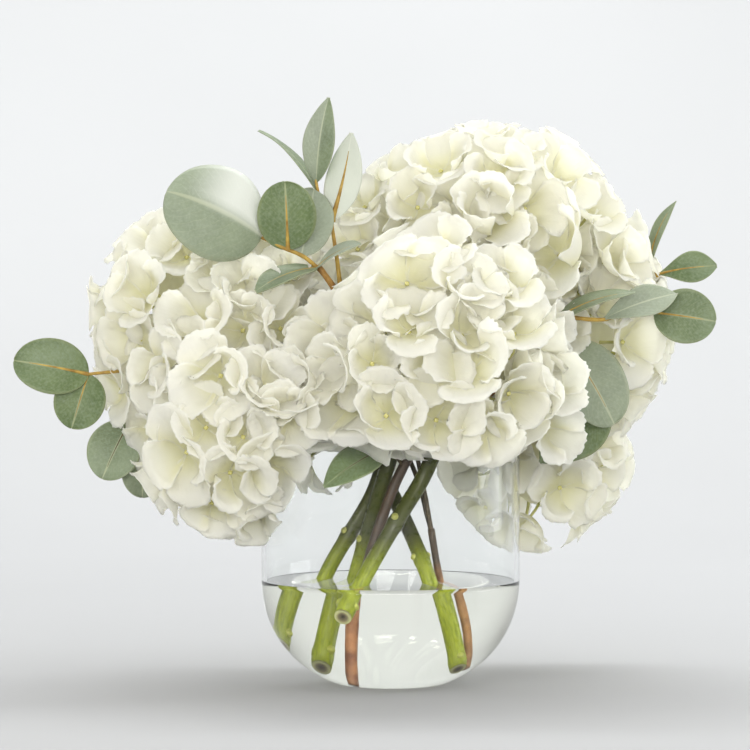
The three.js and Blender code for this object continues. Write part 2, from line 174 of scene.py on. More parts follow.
TUCK_EDGE = 6.0  # and keeps its place from here on
TUCK_LIMIT = 22.0  # a petal that would have to move further covers the leaf instead
STEPS_BACK = (0, 4, 8, 12)  # tried for a floret that would hide a leaf or twig
DEPTHS_TRIED = (-140.0, 140.0, 1.5)  # from, to and step, on the ray of a floret's pixel
SPIRAL_TRIES = 150  # directions tried for further florets on each head
BEST_GRID = 18  # points along and across a petal of the florets that show best
FINE_GRID = 14  # and of the others in the outer layer
# Florets seat by seat from the outside in: where they sit, the least distance from one middle to the
# next, the length of a petal from the floret's middle and the points along and across it.
LAYERS = [(SEAT_SHARE, 28.0, 27.0, FINE_GRID), (0.70, 22.0, 26.0, 10), (0.58, 22.0, 26.0, 8)]
LEAN = 0.6  # how far florets may turn from the way straight out
DISC_RISE = 0.25  # the petals' mean distance in front of the floret's middle, against their length
PETAL_WIDTH = 0.64  # half of a petal's width, against its length
WIDEST = 0.56  # where along the petal that is
PETAL_THICKNESS = 0.28
EYE_RADIUS = 1.5
EYE_ROWS, EYE_SIDES = 5, 12
STALK_RADII = (0.9, 1.5)  # at the floret and at the stem
STALK_BEND = 14.0  # it bends this far behind its floret
STALK_STEP, STALK_SIDES = 6.0, 7
CORE_ROWS, CORE_SIDES = 22, 32


@dataclass
class Seen:
    """A floret that shows well from the front, by the pixel of the photograph at its middle."""

    px: float
    py: float
    up: float  # the way it looks: up and right, against 1 towards the camera
    reach: float  # length of its petals in millimetres
    spin: float  # in degrees
    right: float = 0.0
    bowl: float = 0.8  # how deep a bowl it makes
    y: float = None  # how far back it is, where it lies in a dip between heads


@dataclass
class Floret:
    """A floret that is going to be made, in millimetres and radians."""

    head: int
    middle: np.ndarray
    out: np.ndarray  # the way it looks
    reach: float
    spin: float
    bowl: float
    grid: int  # points along and across a petal
    held: bool = True  # whether its petals keep within the head and behind the leaves


SEEN = [
    Seen(px=149, py=300, right=-0.8, up=0.5, reach=27, spin=20),
    Seen(px=141, py=341, right=-0.7, up=-0.1, reach=29, spin=10, bowl=0.6),
    Seen(px=250, py=302, right=0.1, up=0.7, reach=25, spin=50, bowl=0.9, y=-24),
    Seen(px=280, py=329, right=0.5, up=0.2, reach=23, spin=5, bowl=1.0, y=-30),
    Seen(px=286, py=278, right=-0.2, up=0.5, reach=22, spin=35, y=-13),
    Seen(px=308, py=352, right=0.2, up=0.1, reach=22, spin=20, y=-34),
    Seen(px=372, py=364, right=0.1, up=0.2, reach=22, spin=30, bowl=0.9),
    Seen(px=541, py=384, right=0.4, up=0.2, reach=24, spin=20, bowl=1.0, y=-44),
    Seen(px=546, py=428, right=0.6, up=-0.2, reach=21, spin=50, bowl=1.1, y=-40),
    Seen(px=166, py=248, right=-0.5, up=1.0, reach=24, spin=30, y=8),
    Seen(px=187, py=258, right=-0.2, up=0.8, reach=25, spin=0, y=2),
    Seen(px=225, py=282, up=0.5, reach=24, spin=20, y=-12),
    Seen(px=221, py=376, right=-0.3, up=0.1, reach=30, spin=30),
    Seen(px=205, py=326, right=-0.4, up=0.6, reach=29, spin=0, bowl=0.6),
    Seen(px=262, py=398, right=0.3, up=0.7, reach=27, spin=40, bowl=0.7),
    Seen(px=308, py=396, right=-0.8, up=0.4, reach=26, spin=15, bowl=1.1),
    Seen(px=122, py=388, right=-0.9, up=-0.1, reach=28, spin=35),
    Seen(px=187, py=452, right=-0.5, up=-0.4, reach=32, spin=10, bowl=1.0),
    Seen(px=230, py=472, right=0.4, up=-0.5, reach=28, spin=50, bowl=0.9),
    Seen(px=284, py=427, up=1.6, reach=28, spin=25),
    Seen(px=282, py=463, right=0.3, up=-0.7, reach=25, spin=0, bowl=0.5),
    Seen(px=155, py=432, right=-1.0, up=-0.5, reach=26, spin=30, bowl=0.6),
    Seen(px=365, py=208, right=-0.5, up=1.1, reach=28, spin=10),
    Seen(px=394, py=183, right=0.2, up=1.4, reach=28, spin=60, bowl=0.9),
    Seen(px=418, py=208, right=-0.3, up=0.4, reach=22, spin=30, bowl=1.3),
    Seen(px=461, py=240, right=-0.1, up=1.3, reach=23, spin=0, bowl=1.0),
    Seen(px=441, py=172, right=-0.4, up=1.3, reach=29, spin=20, bowl=0.9),
    Seen(px=491, py=222, right=-0.2, up=0.5, reach=31, spin=45, bowl=1.2),
    Seen(px=505, py=163, right=0.2, up=1.5, reach=29, spin=15, bowl=0.7),
    Seen(px=407, py=284, up=0.3, reach=36, spin=40, bowl=0.9),
    Seen(px=409, py=333, up=0.9, reach=27, spin=5, bowl=0.9),
    Seen(px=514, py=251, right=-0.5, up=0.8, reach=22, spin=30, bowl=1.0),
    Seen(px=560, py=256, right=-0.4, up=0.4, reach=33, spin=10, bowl=1.0),
    Seen(px=507, py=290, up=0.9, reach=27, spin=45, bowl=0.9),
    Seen(px=338, py=346, right=-0.4, up=0.1, reach=27, spin=0, bowl=1.2, y=-44),
    Seen(px=350, py=404, right=-0.3, up=0.0, reach=28, spin=20),
    Seen(px=436, py=420, right=0.1, up=-0.1, reach=30, spin=30, bowl=0.6),
    Seen(px=470, py=374, right=-0.1, up=0.5, reach=31, spin=10),
    Seen(px=486, py=424, right=0.1, up=-0.5, reach=27, spin=45, bowl=1.0),
    Seen(px=514, py=335, right=0.1, up=1.5, reach=32, spin=30, bowl=0.6),
    Seen(px=528, py=405, up=0.1, reach=28, spin=0, bowl=1.0),
    Seen(px=588, py=215, right=0.8, up=1.0, reach=27, spin=15, bowl=0.7),
    Seen(px=608, py=262, right=0.9, up=0.5, reach=26, spin=40),
    Seen(px=622, py=342, right=0.7, up=0.0, reach=28, spin=10, bowl=0.9),
    Seen(px=243, py=331, right=-0.1, up=0.3, reach=24, spin=40, y=-32),
    Seen(px=497, py=180, up=0.6, reach=27, spin=10),
    Seen(px=563, py=328, right=0.2, up=0.2, reach=18, spin=15, bowl=0.6, y=-14),
    Seen(px=206, py=428, up=0.3, reach=24, spin=10, bowl=0.9),
    Seen(px=312, py=428, right=-0.1, up=-0.2, reach=24, spin=30),
    Seen(px=358, py=250, right=-0.3, up=0.6, reach=24, spin=20, y=8),
    Seen(px=243, py=437, right=0.2, up=0.1, reach=22, spin=25),
    Seen(px=212, py=502, up=-0.6, reach=24, spin=20),
]

# Eucalyptus sprays. A shoot is its radius and its route.


@dataclass
class Leaf:
    """A eucalyptus leaf, which starts on the twig nearest to its base."""

    base: tuple
    tip: tuple
    width: float
    face: tuple  # the way its upper face looks
    pale: float = 0.0  # how pale its first half is: partly its bloom, partly painted sheen
    other: float = None  # and its second, where that differs
    rib: float = 0.45  # radius of its wooden rib
    fold: float = 0.12  # how far its halves fold up
    full: float = 0.88  # how near to its tip a long leaf is widest
    fade: float = 0.0  # how far its first half loses its paleness, with its painted sheen, towards the tip
    clear: bool = True  # whether petals keep clear of it as seen from the front


RIGHT_SHOOTS = [
    (3.2, [(-20, -12, 10), (-19, -14, 40), (-16, -16, 66), (-6, -15, 100), (5, -13, 128),
           (16, -12, 146), (44, -6, 166), (80, -3, 196)]),
    (1.6, [(78, -3, 194), (92, -16, 212), (101, -25, 224), (131, -21, 224), (150, -13, 231),
           (168, -8, 227)]),
    (1.6, [(78, -3, 194), (98, -9, 204), (108, -13, 210), (124, -8, 196), (137, -2, 176)]),
    (1.6, [(79, -3, 195), (98, -6, 236), (125, 14, 262), (150, 30, 262), (166, 37, 260),
           (171, 34, 248)]),
    (1.4, [(8, -12.5, 136), (0, -20, 143), (-9, -22, 148)]),
    (2.0, [(50, -5, 171), (39, 9, 187), (34, 42, 200), (44, 82, 220), (49, 108, 244)]),
    (1.4, [(44, 82, 219), (68, 104, 216), (84, 122, 206)]),
    (1.4, [(49, 106, 242), (47, 114, 260), (40, 116, 276)]),
]
RIGHT_LEAVES = [
    Leaf((165, 37, 260), (181, 30, 300), 15, (-1, -0.5, 0.3), pale=0.1, rib=1.1),
    Leaf((170, 34, 249), (206, 26, 259), 22, (-0.3, -1, 0.5), rib=1.0, full=1.5),
    Leaf((101, -25, 224), (148, -34, 240), 21, (-0.3, -0.5, 1), pale=0.15, rib=1.0),
    Leaf((131, -21, 224), (176, -16, 240), 24, (-0.3, -0.9, 0.5), pale=0.3, rib=0, full=1.3),
    Leaf((167, -8, 227), (200, -12, 223), 34, (0.1, -1, 0.1), pale=0.05, rib=0.8),
    Leaf((108, -13, 209), (137, -20, 160), 42, (0.3, -1, 0.2), pale=0.25),
    Leaf((137, -2, 176), (92, -8, 136), 41, (0.1, -1, -0.2)),
    Leaf((-8, -22, 148), (-40, -50, 123), 24, (0.3, -0.6, 0.8)),
    Leaf((49, 107, 242), (82, 124, 258), 36, (-0.1, 1, 0.2)),
    Leaf((48, 110, 250), (14, 124, 262), 34, (0.1, 1, 0.4)),
    Leaf((41, 116, 274), (40, 122, 316), 26, (0.1, 1, -0.2)),
    Leaf((72, 104, 214), (62, 132, 188), 36, (-0.2, 1, 0.4)),
    Leaf((83, 121, 206), (116, 134, 202), 34, (0.3, 1, 0.2)),
]
LEFT_SHOOTS = [
    (2.4, [(40, -9, 19), (37, -8, 40), (30, -5, 66), (25, -4, 95)]),
    (1.6, [(25, -4, 93), (20, -4, 122), (14, -2, 147), (4, 3, 162), (-6, -1, 176), (-20, -14, 204),
           (-31, -23, 235)]),
    (1.6, [(-31, -23, 234), (-33, -22, 262), (-36, -18, 284), (-35, -16, 290)]),
    (1.4, [(-35.5, -18.5, 282), (-44, -14, 300), (-46.5, -12, 314)]),
    (2.2, [(-31, -23, 234), (-38, -26, 248), (-44, -29, 256)]),
    (1.4, [(-44, -29, 256), (-53, -29, 262), (-65, -32, 267), (-84, -34, 276)]),
    (1.6, [(25, -4, 93), (22, 0, 106), (18, 6, 122), (8, 17, 145), (-4, 20, 162), (-25, 14, 184),
           (-60, 8, 194), (-107, 5, 197), (-150, 0, 194), (-193, -3, 190)]),
    (1.5, [(-118, 4, 197), (-148, 2, 178), (-162, 0, 160), (-149, 4, 142)]),
    (1.6, [(-30, 13, 186), (-52, 40, 216), (-82, 60, 240), (-108, 66, 252)]),
    (1.4, [(-106, 66, 251), (-138, 54, 256), (-155, 50, 256)]),
    (1.4, [(-106, 66, 251), (-112, 88, 262), (-118, 98, 278)]),
]
LEFT_LEAVES = [
    Leaf((-192, -3, 190), (-232, -10, 199), 35, (0.1, -1, 0.2), rib=1.3),
    Leaf((-187, -2, 189), (-197, -6, 157), 32, (0.1, -1, 0.2)),
    Leaf((-162, 0, 161), (-178, -8, 126), 34, (-0.1, -1, 0.2), pale=0.1, clear=False),
    Leaf((-149, 3, 144), (-154, 0, 114), 27, (0.1, -1, 0.1), pale=0.2, clear=False),
    Leaf((-46.5, -12, 311), (-38, -18, 360), 21, (-0.4, -1, 0.1), pale=0.12, other=0.3, rib=0),
    Leaf((-35, -16, 287), (-24, -22, 338), 23, (0.3, 1, 0.1), pale=0.75, rib=2.1),
    Leaf((-46, -13.5, 300), (-82, 4, 342), 13, (0.65, -0.3, 0.65), pale=0.1, rib=0),
    Leaf((-64, -32, 266), (-64, -38, 307), 36, (0.1, -1, -0.1), rib=1.5),
    Leaf((-56, -29, 262), (-47, -16, 304), 31, (0.2, -1, 0.3), pale=0.3, rib=0),
    # Painted sheen: its first half is painted nearly white where it catches the light, fading towards
    # the tip.
    Leaf((-83, -34, 275.5), (-135, -46, 300), 60, (0.1, -1, 0.3), pale=1.0, other=0.2, rib=0,
         fold=-0.2, fade=0.8),
    Leaf((-44, -29, 256), (-81, -52, 240), 26, (-0.3, -0.5, 0.9), pale=0.12),
    Leaf((-44, -29, 256), (-18, -46, 269), 20, (-0.3, -0.5, 0.9), pale=0.3),
    Leaf((-153, 50, 256), (-172, 44, 272), 14, (0.4, -0.3, 1)),
    Leaf((-112, 87, 261), (-146, 100, 262), 34, (-0.2, 1, 0.5)),
    Leaf((-113, 89, 263), (-84, 114, 256), 32, (0.2, 0.8, 0.6)),
    Leaf((-117, 97, 276), (-130, 110, 312), 27, (0.1, 1, -0.3)),
]
SPRAYS = {"right": (RIGHT_SHOOTS, RIGHT_LEAVES), "left": (LEFT_SHOOTS, LEFT_LEAVES)}
LEAF_THICKNESS = 0.5
LEAF_ARCH = 0.1
LEAF_END = 0.08
ROUND_LEAF = 0.7  # a leaf at least this wide for its length has a round outline
LEAF_ROWS = 28
LEAF_COLUMNS = 16
LEAF_COLOURS = {
    "leaf_upper": dict(
        dark=(0.072, 0.11, 0.034),
        light=(0.13, 0.178, 0.068),
        vein=(0.30, 0.33, 0.18),
        bloom=(0.30, 0.36, 0.26),
    ),
    "leaf_under": dict(
        dark=(0.26, 0.32, 0.19),
        light=(0.36, 0.42, 0.28),
        vein=(0.46, 0.49, 0.32),
        bloom=(0.46, 0.52, 0.40),
    ),
}
# Paleness that a leaf's pale mixes in: partly bloom, partly painted sheen.
LEAF_BLOOM_AND_SHEEN = (0.60, 0.62, 0.56)
VEIN_BLOOM_AND_SHEEN = (0.68, 0.70, 0.64)
TWIG_STEP, TWIG_SIDES = 3.0, 12
RING_SPACING = 21.0  # between the rings of old leaf scars on a twig
FRONT_LIMIT = 40.0  # leaves nearer to the front than this are seen in front of the florets
FRONT_TWIGS = -10.0  # and so are twigs nearer than this and higher up than the next
TWIGS_ABOVE = 221.0


# Small sums


def unit(vector):
    vector = np.asarray(vector, float)
    return vector / np.linalg.norm(vector)


def draw(h, i, k):
    """A number from 0 to 1 that is always the same for the same head or twig, its part and its use."""
    x = math.sin(h * 127.1 + i * 311.7 + k * 74.7) * 43758.5453
    return x - math.floor(x)


def smoothstep(low, high, value):
    share = np.clip((value - low) / (high - low), 0, 1)
    return share * share * (3 - 2 * share)


def frame_on(direction):
    """Two unit vectors across a direction, as columns with it: x, y and the direction as z."""
    z = unit(direction)
    side = np.array([0.0, 0.0, 1.0]) if abs(z[2]) < 0.9 else np.array([1.0, 0.0, 0.0])
    x = unit(np.cross(side, z))
    return np.column_stack([x, np.cross(z, x), z])


def route(points, step):
    """A centripetal Catmull-Rom curve through the points, as places about step apart."""
    knots = [np.array(p, float) for p in points]
    ends = [2 * knots[0] - knots[1], *knots, 2 * knots[-1] - knots[-2]]
    dense = []
    for a, b, c, d in zip(ends, ends[1:], ends[2:], ends[3:]):
        gaps = [math.sqrt(np.linalg.norm(q - p)) for p, q in ((a, b), (b, c), (c, d))]
        leave = gaps[1] * ((b - a) / gaps[0] - (c - a) / (gaps[0] + gaps[1]) + (c - b) / gaps[1])
        arrive = gaps[1] * ((c - b) / gaps[1] - (d - b) / (gaps[1] + gaps[2]) + (d - c) / gaps[2])
        for t in np.linspace(0, 1, 24, endpoint=False):
            curve = (2 * t**3 - 3 * t**2 + 1) * b + (t**3 - 2 * t**2 + t) * leave
            dense.append(curve + (3 * t**2 - 2 * t**3) * c + (t**3 - t**2) * arrive)
    dense = np.array([*dense, knots[-1]])
    along = np.concatenate([[0], np.cumsum(np.linalg.norm(np.diff(dense, axis=0), axis=1))])
    count = max(3, round(along[-1] / step))
    places = np.linspace(0, along[-1], count + 1)
    return np.column_stack([np.interp(places, along, dense[:, k]) for k in range(3)])


def nearest_on(lines, place):
    """The point nearest to a place on some lines, a little short of their ends."""
    short = 2
    found = [line[short:-short] if len(line) > 3 * short else line for line in lines]
    every = np.concatenate(found)
    return every[np.argmin(np.linalg.norm(every - np.array(place, float), axis=1))]


def routes_of(shoots, step):
    """(radius, line) of each shoot. One that forks off starts on those before it."""
    lines = []
    for radius, points in shoots:
        start = nearest_on([line for _, line in lines], points[0]) if lines else points[0]
        lines.append((radius, route([start, *points[1:]], step)))
    return lines


# Meshes


class Shape:
    """Gathers grids of points, in millimetres, into one mesh with UVs, shades and materials."""

    def __init__(self):
        self.points, self.uvs, self.shades, self.edges = [], [], [], []
        self.faces, self.slots = [], []
        self.count = 0

    def add(self, points, faces, uv=(0, 0), slot=0, shade=0.5, edge=0.0):
        """Adds points, and faces by their numbers among them. UV, shade and edge are those of each
        point or of all."""
        points = np.reshape(points, (-1, 3)).astype(float)
        count = len(points)
        self.points.append(points)
        self.uvs.append(np.broadcast_to(np.reshape(uv, (-1, 2)), (count, 2)))
        self.shades.append(np.broadcast_to(shade, count))
        self.edges.append(np.broadcast_to(edge, count))
        self.faces += [tuple(int(i) + self.count for i in face) for face in faces]
        self.slots += [slot] * len(faces)
        self.count += count

    def add_rings(self, rings, tips, flip=False, **values):
        """Adds rings of points joined in a row, closed by a fan to a tip at each end."""
        rows, sides = np.shape(rings)[:2]
        points = np.concatenate([np.reshape(rings, (-1, 3)), tips])
        self.add(points, capped_faces(rows, sides, flip), **values)

    def build(self, name, *materials):
        """The piece as an object in the scene, smooth all over."""
        mesh = bpy.data.meshes.new(name)
        mesh.from_pydata((np.concatenate(self.points) * MM).tolist(), [], self.faces)
        mesh.polygons.foreach_set("use_smooth", np.ones(len(mesh.polygons), bool))
        mesh.polygons.foreach_set("material_index", np.array(self.slots, np.int32))
        corners = np.zeros(len(mesh.loops), np.int32)
        mesh.loops.foreach_get("vertex_index", corners)
        layer = mesh.uv_layers.new(name="surface")
        layer.data.foreach_set("uv", np.concatenate(self.uvs)[corners].astype(np.float32).ravel())
        for title, values in (("shade", self.shades), ("edge", self.edges)):
            attribute = mesh.attributes.new(title, "FLOAT", "POINT")
            attribute.data.foreach_set("value", np.concatenate(values).astype(np.float32))
        for material in materials:
            mesh.materials.append(material)
        mesh.update()
        piece = bpy.data.objects.new(name, mesh)
        bpy.context.scene.collection.objects.link(piece)
        return piece


def grid_faces(rows, columns, first=0, closed=False, flip=False):
    """Quads of a grid of points that is filled row by row, round in a ring if closed."""
    faces = []
    for r in range(rows - 1):
        for c in range(columns if closed else columns - 1):
            d = (c + 1) % columns
            quad = (r * columns + c, r * columns + d, (r + 1) * columns + d, (r + 1) * columns + c)
            faces.append(tuple(first + i for i in (quad[::-1] if flip else quad)))
    return faces


def ring_of(sides):
    """Angles evenly round a ring."""
    return 2 * np.pi * np.arange(sides) / sides


def capped_faces(rows, sides, flip=False):
    """Faces of rings in a row, with a fan at each end to two further points."""
    tips, last = rows * sides, (rows - 1) * sides
    faces = grid_faces(rows, sides, closed=True)
    for c in range(sides):
        d = (c + 1) % sides
        faces += [(d, c, tips), (last + c, last + d, tips + 1)]
    return [face[::-1] for face in faces] if flip else faces


def normals_of(middle):
    across = np.gradient(middle, axis=1)
    along = np.gradient(middle, axis=0)
    normal = np.cross(along, across)
    return normal / np.maximum(np.linalg.norm(normal, axis=2, keepdims=True), 1e-9)


def rim_of(rows, columns):
    """The numbers of a grid's outer points, in order round it."""
    top = [(0, c) for c in range(columns - 1)]
    right = [(r, columns - 1) for r in range(rows - 1)]
    bottom = [(rows - 1, c) for c in range(columns - 1, 0, -1)]
    left = [(r, 0) for r in range(rows - 1, 0, -1)]
    return [r * columns + c for r, c in top + right + bottom + left]


@functools.cache
def sheet_faces(rows, columns):
    """Faces of a closed sheet: its upper grid, its lower grid and the rim between them."""
    count, rim = rows * columns, rim_of(rows, columns)
    walls = [(a, b, b + count, a + count) for a, b in zip(rim, rim[1:] + rim[:1])]
    return grid_faces(rows, columns, flip=True), grid_faces(rows, columns, first=count), walls


def add_sheet(shape, middle, uv, thickness, shade, edge, slots=(0, 0)):
    """A closed sheet about a grid of middle points. Its upper side has the first material."""

    def twice(values):
        return np.tile(np.broadcast_to(values, middle.shape[:2]).ravel(), 2)

    half = normals_of(middle) * thickness / 2
    upper, lower, walls = sheet_faces(*middle.shape[:2])
    values = dict(uv=[uv, uv], slot=slots[0], shade=twice(shade), edge=twice(edge))
    shape.add([middle + half, middle - half], upper + walls + lower, **values)
    shape.slots[-len(lower):] = [slots[1]] * len(lower)


def carried_frames(line):
    """A frame at each point of a line, carried along it without twist."""
    ahead = np.gradient(line, axis=0)
    ahead /= np.linalg.norm(ahead, axis=1, keepdims=True)
    side = frame_on(ahead[0])[:, 0]
    frames = []
    for z in ahead:
        side = unit(side - z * np.dot(side, z))
        frames.append(np.column_stack([side, np.cross(z, side), z]))
    return frames


def add_tube(shape, line, radii, sides, shade=0.5, squash=None):
    """A closed tube along a line. squash gives each ring's corners their own share of the radius."""
    radii = np.broadcast_to(radii, len(line)).astype(float)
    turns = ring_of(sides)
    circle = np.column_stack([np.cos(turns), np.sin(turns)])
    shares = np.ones((len(line), sides)) if squash is None else squash
    rings = [
        place + ((circle * (radius * share)[:, None]) @ frame[:, :2].T)
        for place, radius, share, frame in zip(line, radii, shares, carried_frames(line))
    ]
    along = np.concatenate([[0], np.cumsum(np.linalg.norm(np.diff(line, axis=0), axis=1))])
    uv = [(turn / (2 * np.pi), length / 10) for length in along for turn in turns]
    uv += [(0.5, 0), (0.5, along[-1] / 10)]
    shape.add_rings(rings, [line[0], line[-1]], uv=uv, shade=shade)


def add_turned(shape, profile):
    """A solid of revolution about Z. The profile runs from the axis round to the axis again."""
    turns = ring_of(LATHE_SIDES)
    rings = [
        [(radius * math.cos(turn), radius * math.sin(turn), height) for turn in turns]
        for radius, height in profile[1:-1]
    ]
    shape.add_rings(rings, [(0, 0, profile[0][1]), (0, 0, profile[-1][1])])


# Materials


class Nodes:
    """Adds nodes to the tree of a material or world."""

    def __init__(self, owner):
        owner.use_nodes = True
        self.tree = owner.node_tree

    def add(self, kind, inputs=(), **settings):
        node = self.tree.nodes.new("ShaderNode" + kind)
        for title, value in settings.items():
            setattr(node, title, value)
        for socket, value in dict(inputs).items():
            self.feed(value, node.inputs[socket])
        return node

    def feed(self, value, socket):
        """Links a socket to the output of another node, or sets its number or colour."""
        if isinstance(value, bpy.types.NodeSocket):
            self.tree.links.new(value, socket)
        else:
            socket.default_value = (*value, 1) if socket.type == "RGBA" else value

    def spread(self, value, low, high, to_low=0.0, to_high=1.0):
        """value from low to high, moved to another range and held there."""
        inputs = {"Value": value, "From Min": low, "From Max": high, "To Min": to_low, "To Max": to_high}
        return self.add("MapRange", inputs, clamp=True).outputs[0]


class Paint(Nodes):
    """A material whose colour, roughness and bump come from nodes."""

    def __init__(self, name, **settings):
        self.material = bpy.data.materials.new(name)
        super().__init__(self.material)
        self.shader = self.tree.nodes["Principled BSDF"]
        for title, value in settings.items():
            self.shader.inputs[title.replace("_", " ")].default_value = value

    def attribute(self, name):
        return self.add("Attribute", attribute_name=name).outputs["Fac"]

    def uv(self):
        split = self.add("SeparateXYZ", {0: self.add("UVMap", uv_map="surface").outputs[0]})
        return split.outputs[0], split.outputs[1]

    def place(self):
        return self.add("TexCoord").outputs["Object"]

    def height(self):
        return self.add("SeparateXYZ", {0: self.place()}).outputs[2]

    def noise(self, scale, detail=3.0, vector=None):
        inputs = {"Vector": vector or self.place(), "Scale": scale, "Detail": detail}
        return self.add("TexNoise", inputs).outputs["Fac"]

    def streaks(self, scale, across_times=1.0, along_times=1.0):
        """Noise on the surface's own coordinates, in lines that run along or round it."""
        across, along = self.uv()
        inputs = {0: self.times(across, across_times), 1: self.times(along, along_times)}
        return self.noise(scale, 4.0, vector=self.add("CombineXYZ", inputs).outputs[0])

    def math(self, operation, *values):
        return self.add("Math", dict(enumerate(values)), operation=operation).outputs[0]

    def times(self, first, second):
        return self.math("MULTIPLY", first, second)

    def mix(self, share, first, second):
        return self.add("Mix", {0: share, 6: first, 7: second}, data_type="RGBA").outputs[2]

    def ramp(self, value, *stops):
        node = self.add("ValToRGB", {0: value})
        elements = node.color_ramp.elements
        while len(elements) < len(stops):
            elements.new(0.5)
        for element, (position, colour) in zip(elements, stops):
            element.position = position
            element.color = (*colour, 1)
        return node.outputs[0]

    def bump(self, height, strength, distance_mm):
        node = self.add("Bump", {"Height": height, "Strength": strength, "Distance": distance_mm * MM})
        self.feed(node.outputs[0], self.shader.inputs["Normal"])

    def colour(self, value):
        self.feed(value, self.shader.inputs["Base Color"])

    def roughness(self, value):
        self.feed(value, self.shader.inputs["Roughness"])

    def mix_shader(self, share, other):
        """Another shader takes a share of the surface."""
        mixed = self.add("MixShader", {0: share, 1: self.shader.outputs[0], 2: other.outputs[0]})
        self.feed(mixed.outputs[0], self.tree.nodes["Material Output"].inputs["Surface"])

    def let_light_through(self, colour, share):
        """Part of the light goes on through, as in a thin petal."""
        self.mix_shader(share, self.add("BsdfTranslucent", {"Color": colour}))

    def let_shadows_through(self, tint):
        """Rays towards a lamp pass straight through, so that what is behind clear glass is lit."""
        shadow = self.add("LightPath").outputs["Is Shadow Ray"]
        self.mix_shader(shadow, self.add("BsdfTransparent", {"Color": tint}))


def glass_paint():
    paint = Paint("clear_glass", IOR=1.3, Transmission_Weight=1.0)
    paint.colour(paint.ramp(paint.noise(30), (0.3, (0.965, 0.98, 0.972)), (0.7, (0.985, 0.992, 0.988))))
    paint.roughness(paint.spread(paint.noise(140), 0.4, 0.8, 0.0, 0.006))
    paint.let_shadows_through((0.985, 0.99, 0.988))
    return paint.material


def water_paint():
    paint = Paint("still_water", Roughness=0.0, IOR=1.333, Transmission_Weight=1.0)
    paint.colour(paint.ramp(paint.noise(18), (0.3, (0.98, 0.973, 0.90)), (0.7, (0.99, 0.985, 0.92))))
    paint.let_shadows_through((0.985, 0.985, 0.95))
    return paint.material


def petal_paint():
    """White, creamy towards the floret's middle, partly its own tint and partly painted shade in the
    floret's hollow, with veins that run out from it and a painted highlight that whitens the rims.
    """
    paint = Paint("white_petal", Specular_IOR_Level=0.35)
    # Partly the petals' own tint, partly painted shade: darker and creamier towards the floret's middle,
    # down in its hollow.
    depth = paint.ramp(
        paint.uv()[1],
        (0.0, (0.74, 0.72, 0.30)),
        (0.24, (0.90, 0.885, 0.60)),
        (0.48, (0.955, 0.949, 0.86)),
        (0.75, (0.970, 0.968, 0.953)),
    )
    creamier = paint.spread(paint.attribute("shade"), 0.3, 1, 0.0, 0.3)
    cream = paint.mix(creamier, depth, (0.94, 0.925, 0.78))
    veins = paint.streaks(2.6, across_times=4.0)
    mottled = paint.mix(paint.spread(veins, 0.5, 0.75, 0.0, 0.3), cream, (0.91, 0.895, 0.80))
    # Painted highlight: the rims are painted whiter where they catch the light.
    paint.colour(paint.mix(paint.attribute("edge"), mottled, (0.975, 0.975, 0.96)))
    paint.roughness(paint.spread(paint.noise(400), 0.3, 0.7, 0.42, 0.6))
    paint.bump(paint.math("ADD", veins, paint.times(paint.noise(260), 0.4)), 0.8, 1.8)
    paint.let_light_through((0.975, 0.967, 0.905), 0.68)
    return paint.material


def eye_paint():
    paint = Paint("floret_eye", Roughness=0.6)
    paint.colour(paint.ramp(paint.noise(900), (0.35, (0.50, 0.47, 0.13)), (0.7, (0.72, 0.68, 0.33))))
    paint.bump(paint.noise(1800), 0.5, 0.3)
    return paint.material


def stalk_paint():
    """The thin pale-green stalks that carry the florets."""
    paint = Paint("floret_stalk", Roughness=0.5)
    paint.colour(paint.ramp(paint.noise(120), (0.3, (0.36, 0.36, 0.10)), (0.75, (0.62, 0.60, 0.28))))
    paint.bump(paint.noise(700), 0.3, 0.3)
    return paint.material


def stem_paint():
    """Glossy green with fine lines along the stem and paler nodes, and painted shade that makes it
    nearly black higher up, under the flowers.
    """
    paint = Paint("green_stem", Specular_IOR_Level=0.3)
    lines = paint.streaks(1.6, across_times=14.0)
    base = paint.ramp(lines, (0.3, (0.14, 0.17, 0.006)), (0.7, (0.30, 0.35, 0.016)))
    patchy = paint.mix(paint.spread(paint.noise(45), 0.4, 0.7, 0.0, 0.45), base, (0.41, 0.47, 0.04))
    # Painted shade: above the water the stem darkens to nearly black, for the shade of the flower mass.
    dark = paint.spread(paint.height(), 0.064, 0.092, 0.0, 0.93)
    shaded_higher = paint.mix(dark, patchy, (0.026, 0.03, 0.005))
    scar = paint.spread(paint.attribute("shade"), 0.5, 1.0, 0.0, 0.5)
    paint.colour(paint.mix(scar, shaded_higher, (0.52, 0.52, 0.14)))
    paint.roughness(paint.spread(paint.noise(300), 0.3, 0.7, 0.22, 0.42))
    paint.bump(lines, 0.4, 0.35)
    return paint.material


def cut_paint():
    """The cut face of a stem: pale round the rim, with painted shade that darkens the middle as the
    inside of the hollow stem.
    """
    paint = Paint("stem_cut", Roughness=0.7)
    # Painted shade: the middle is painted dark for the inside of the hollow stem.
    stops = (0.15, (0.05, 0.035, 0.02)), (0.5, (0.20, 0.16, 0.08)), (0.8, (0.55, 0.55, 0.28))
    paint.colour(paint.ramp(paint.attribute("edge"), *stops))
    paint.bump(paint.noise(1500), 0.6, 0.5)
    return paint.material


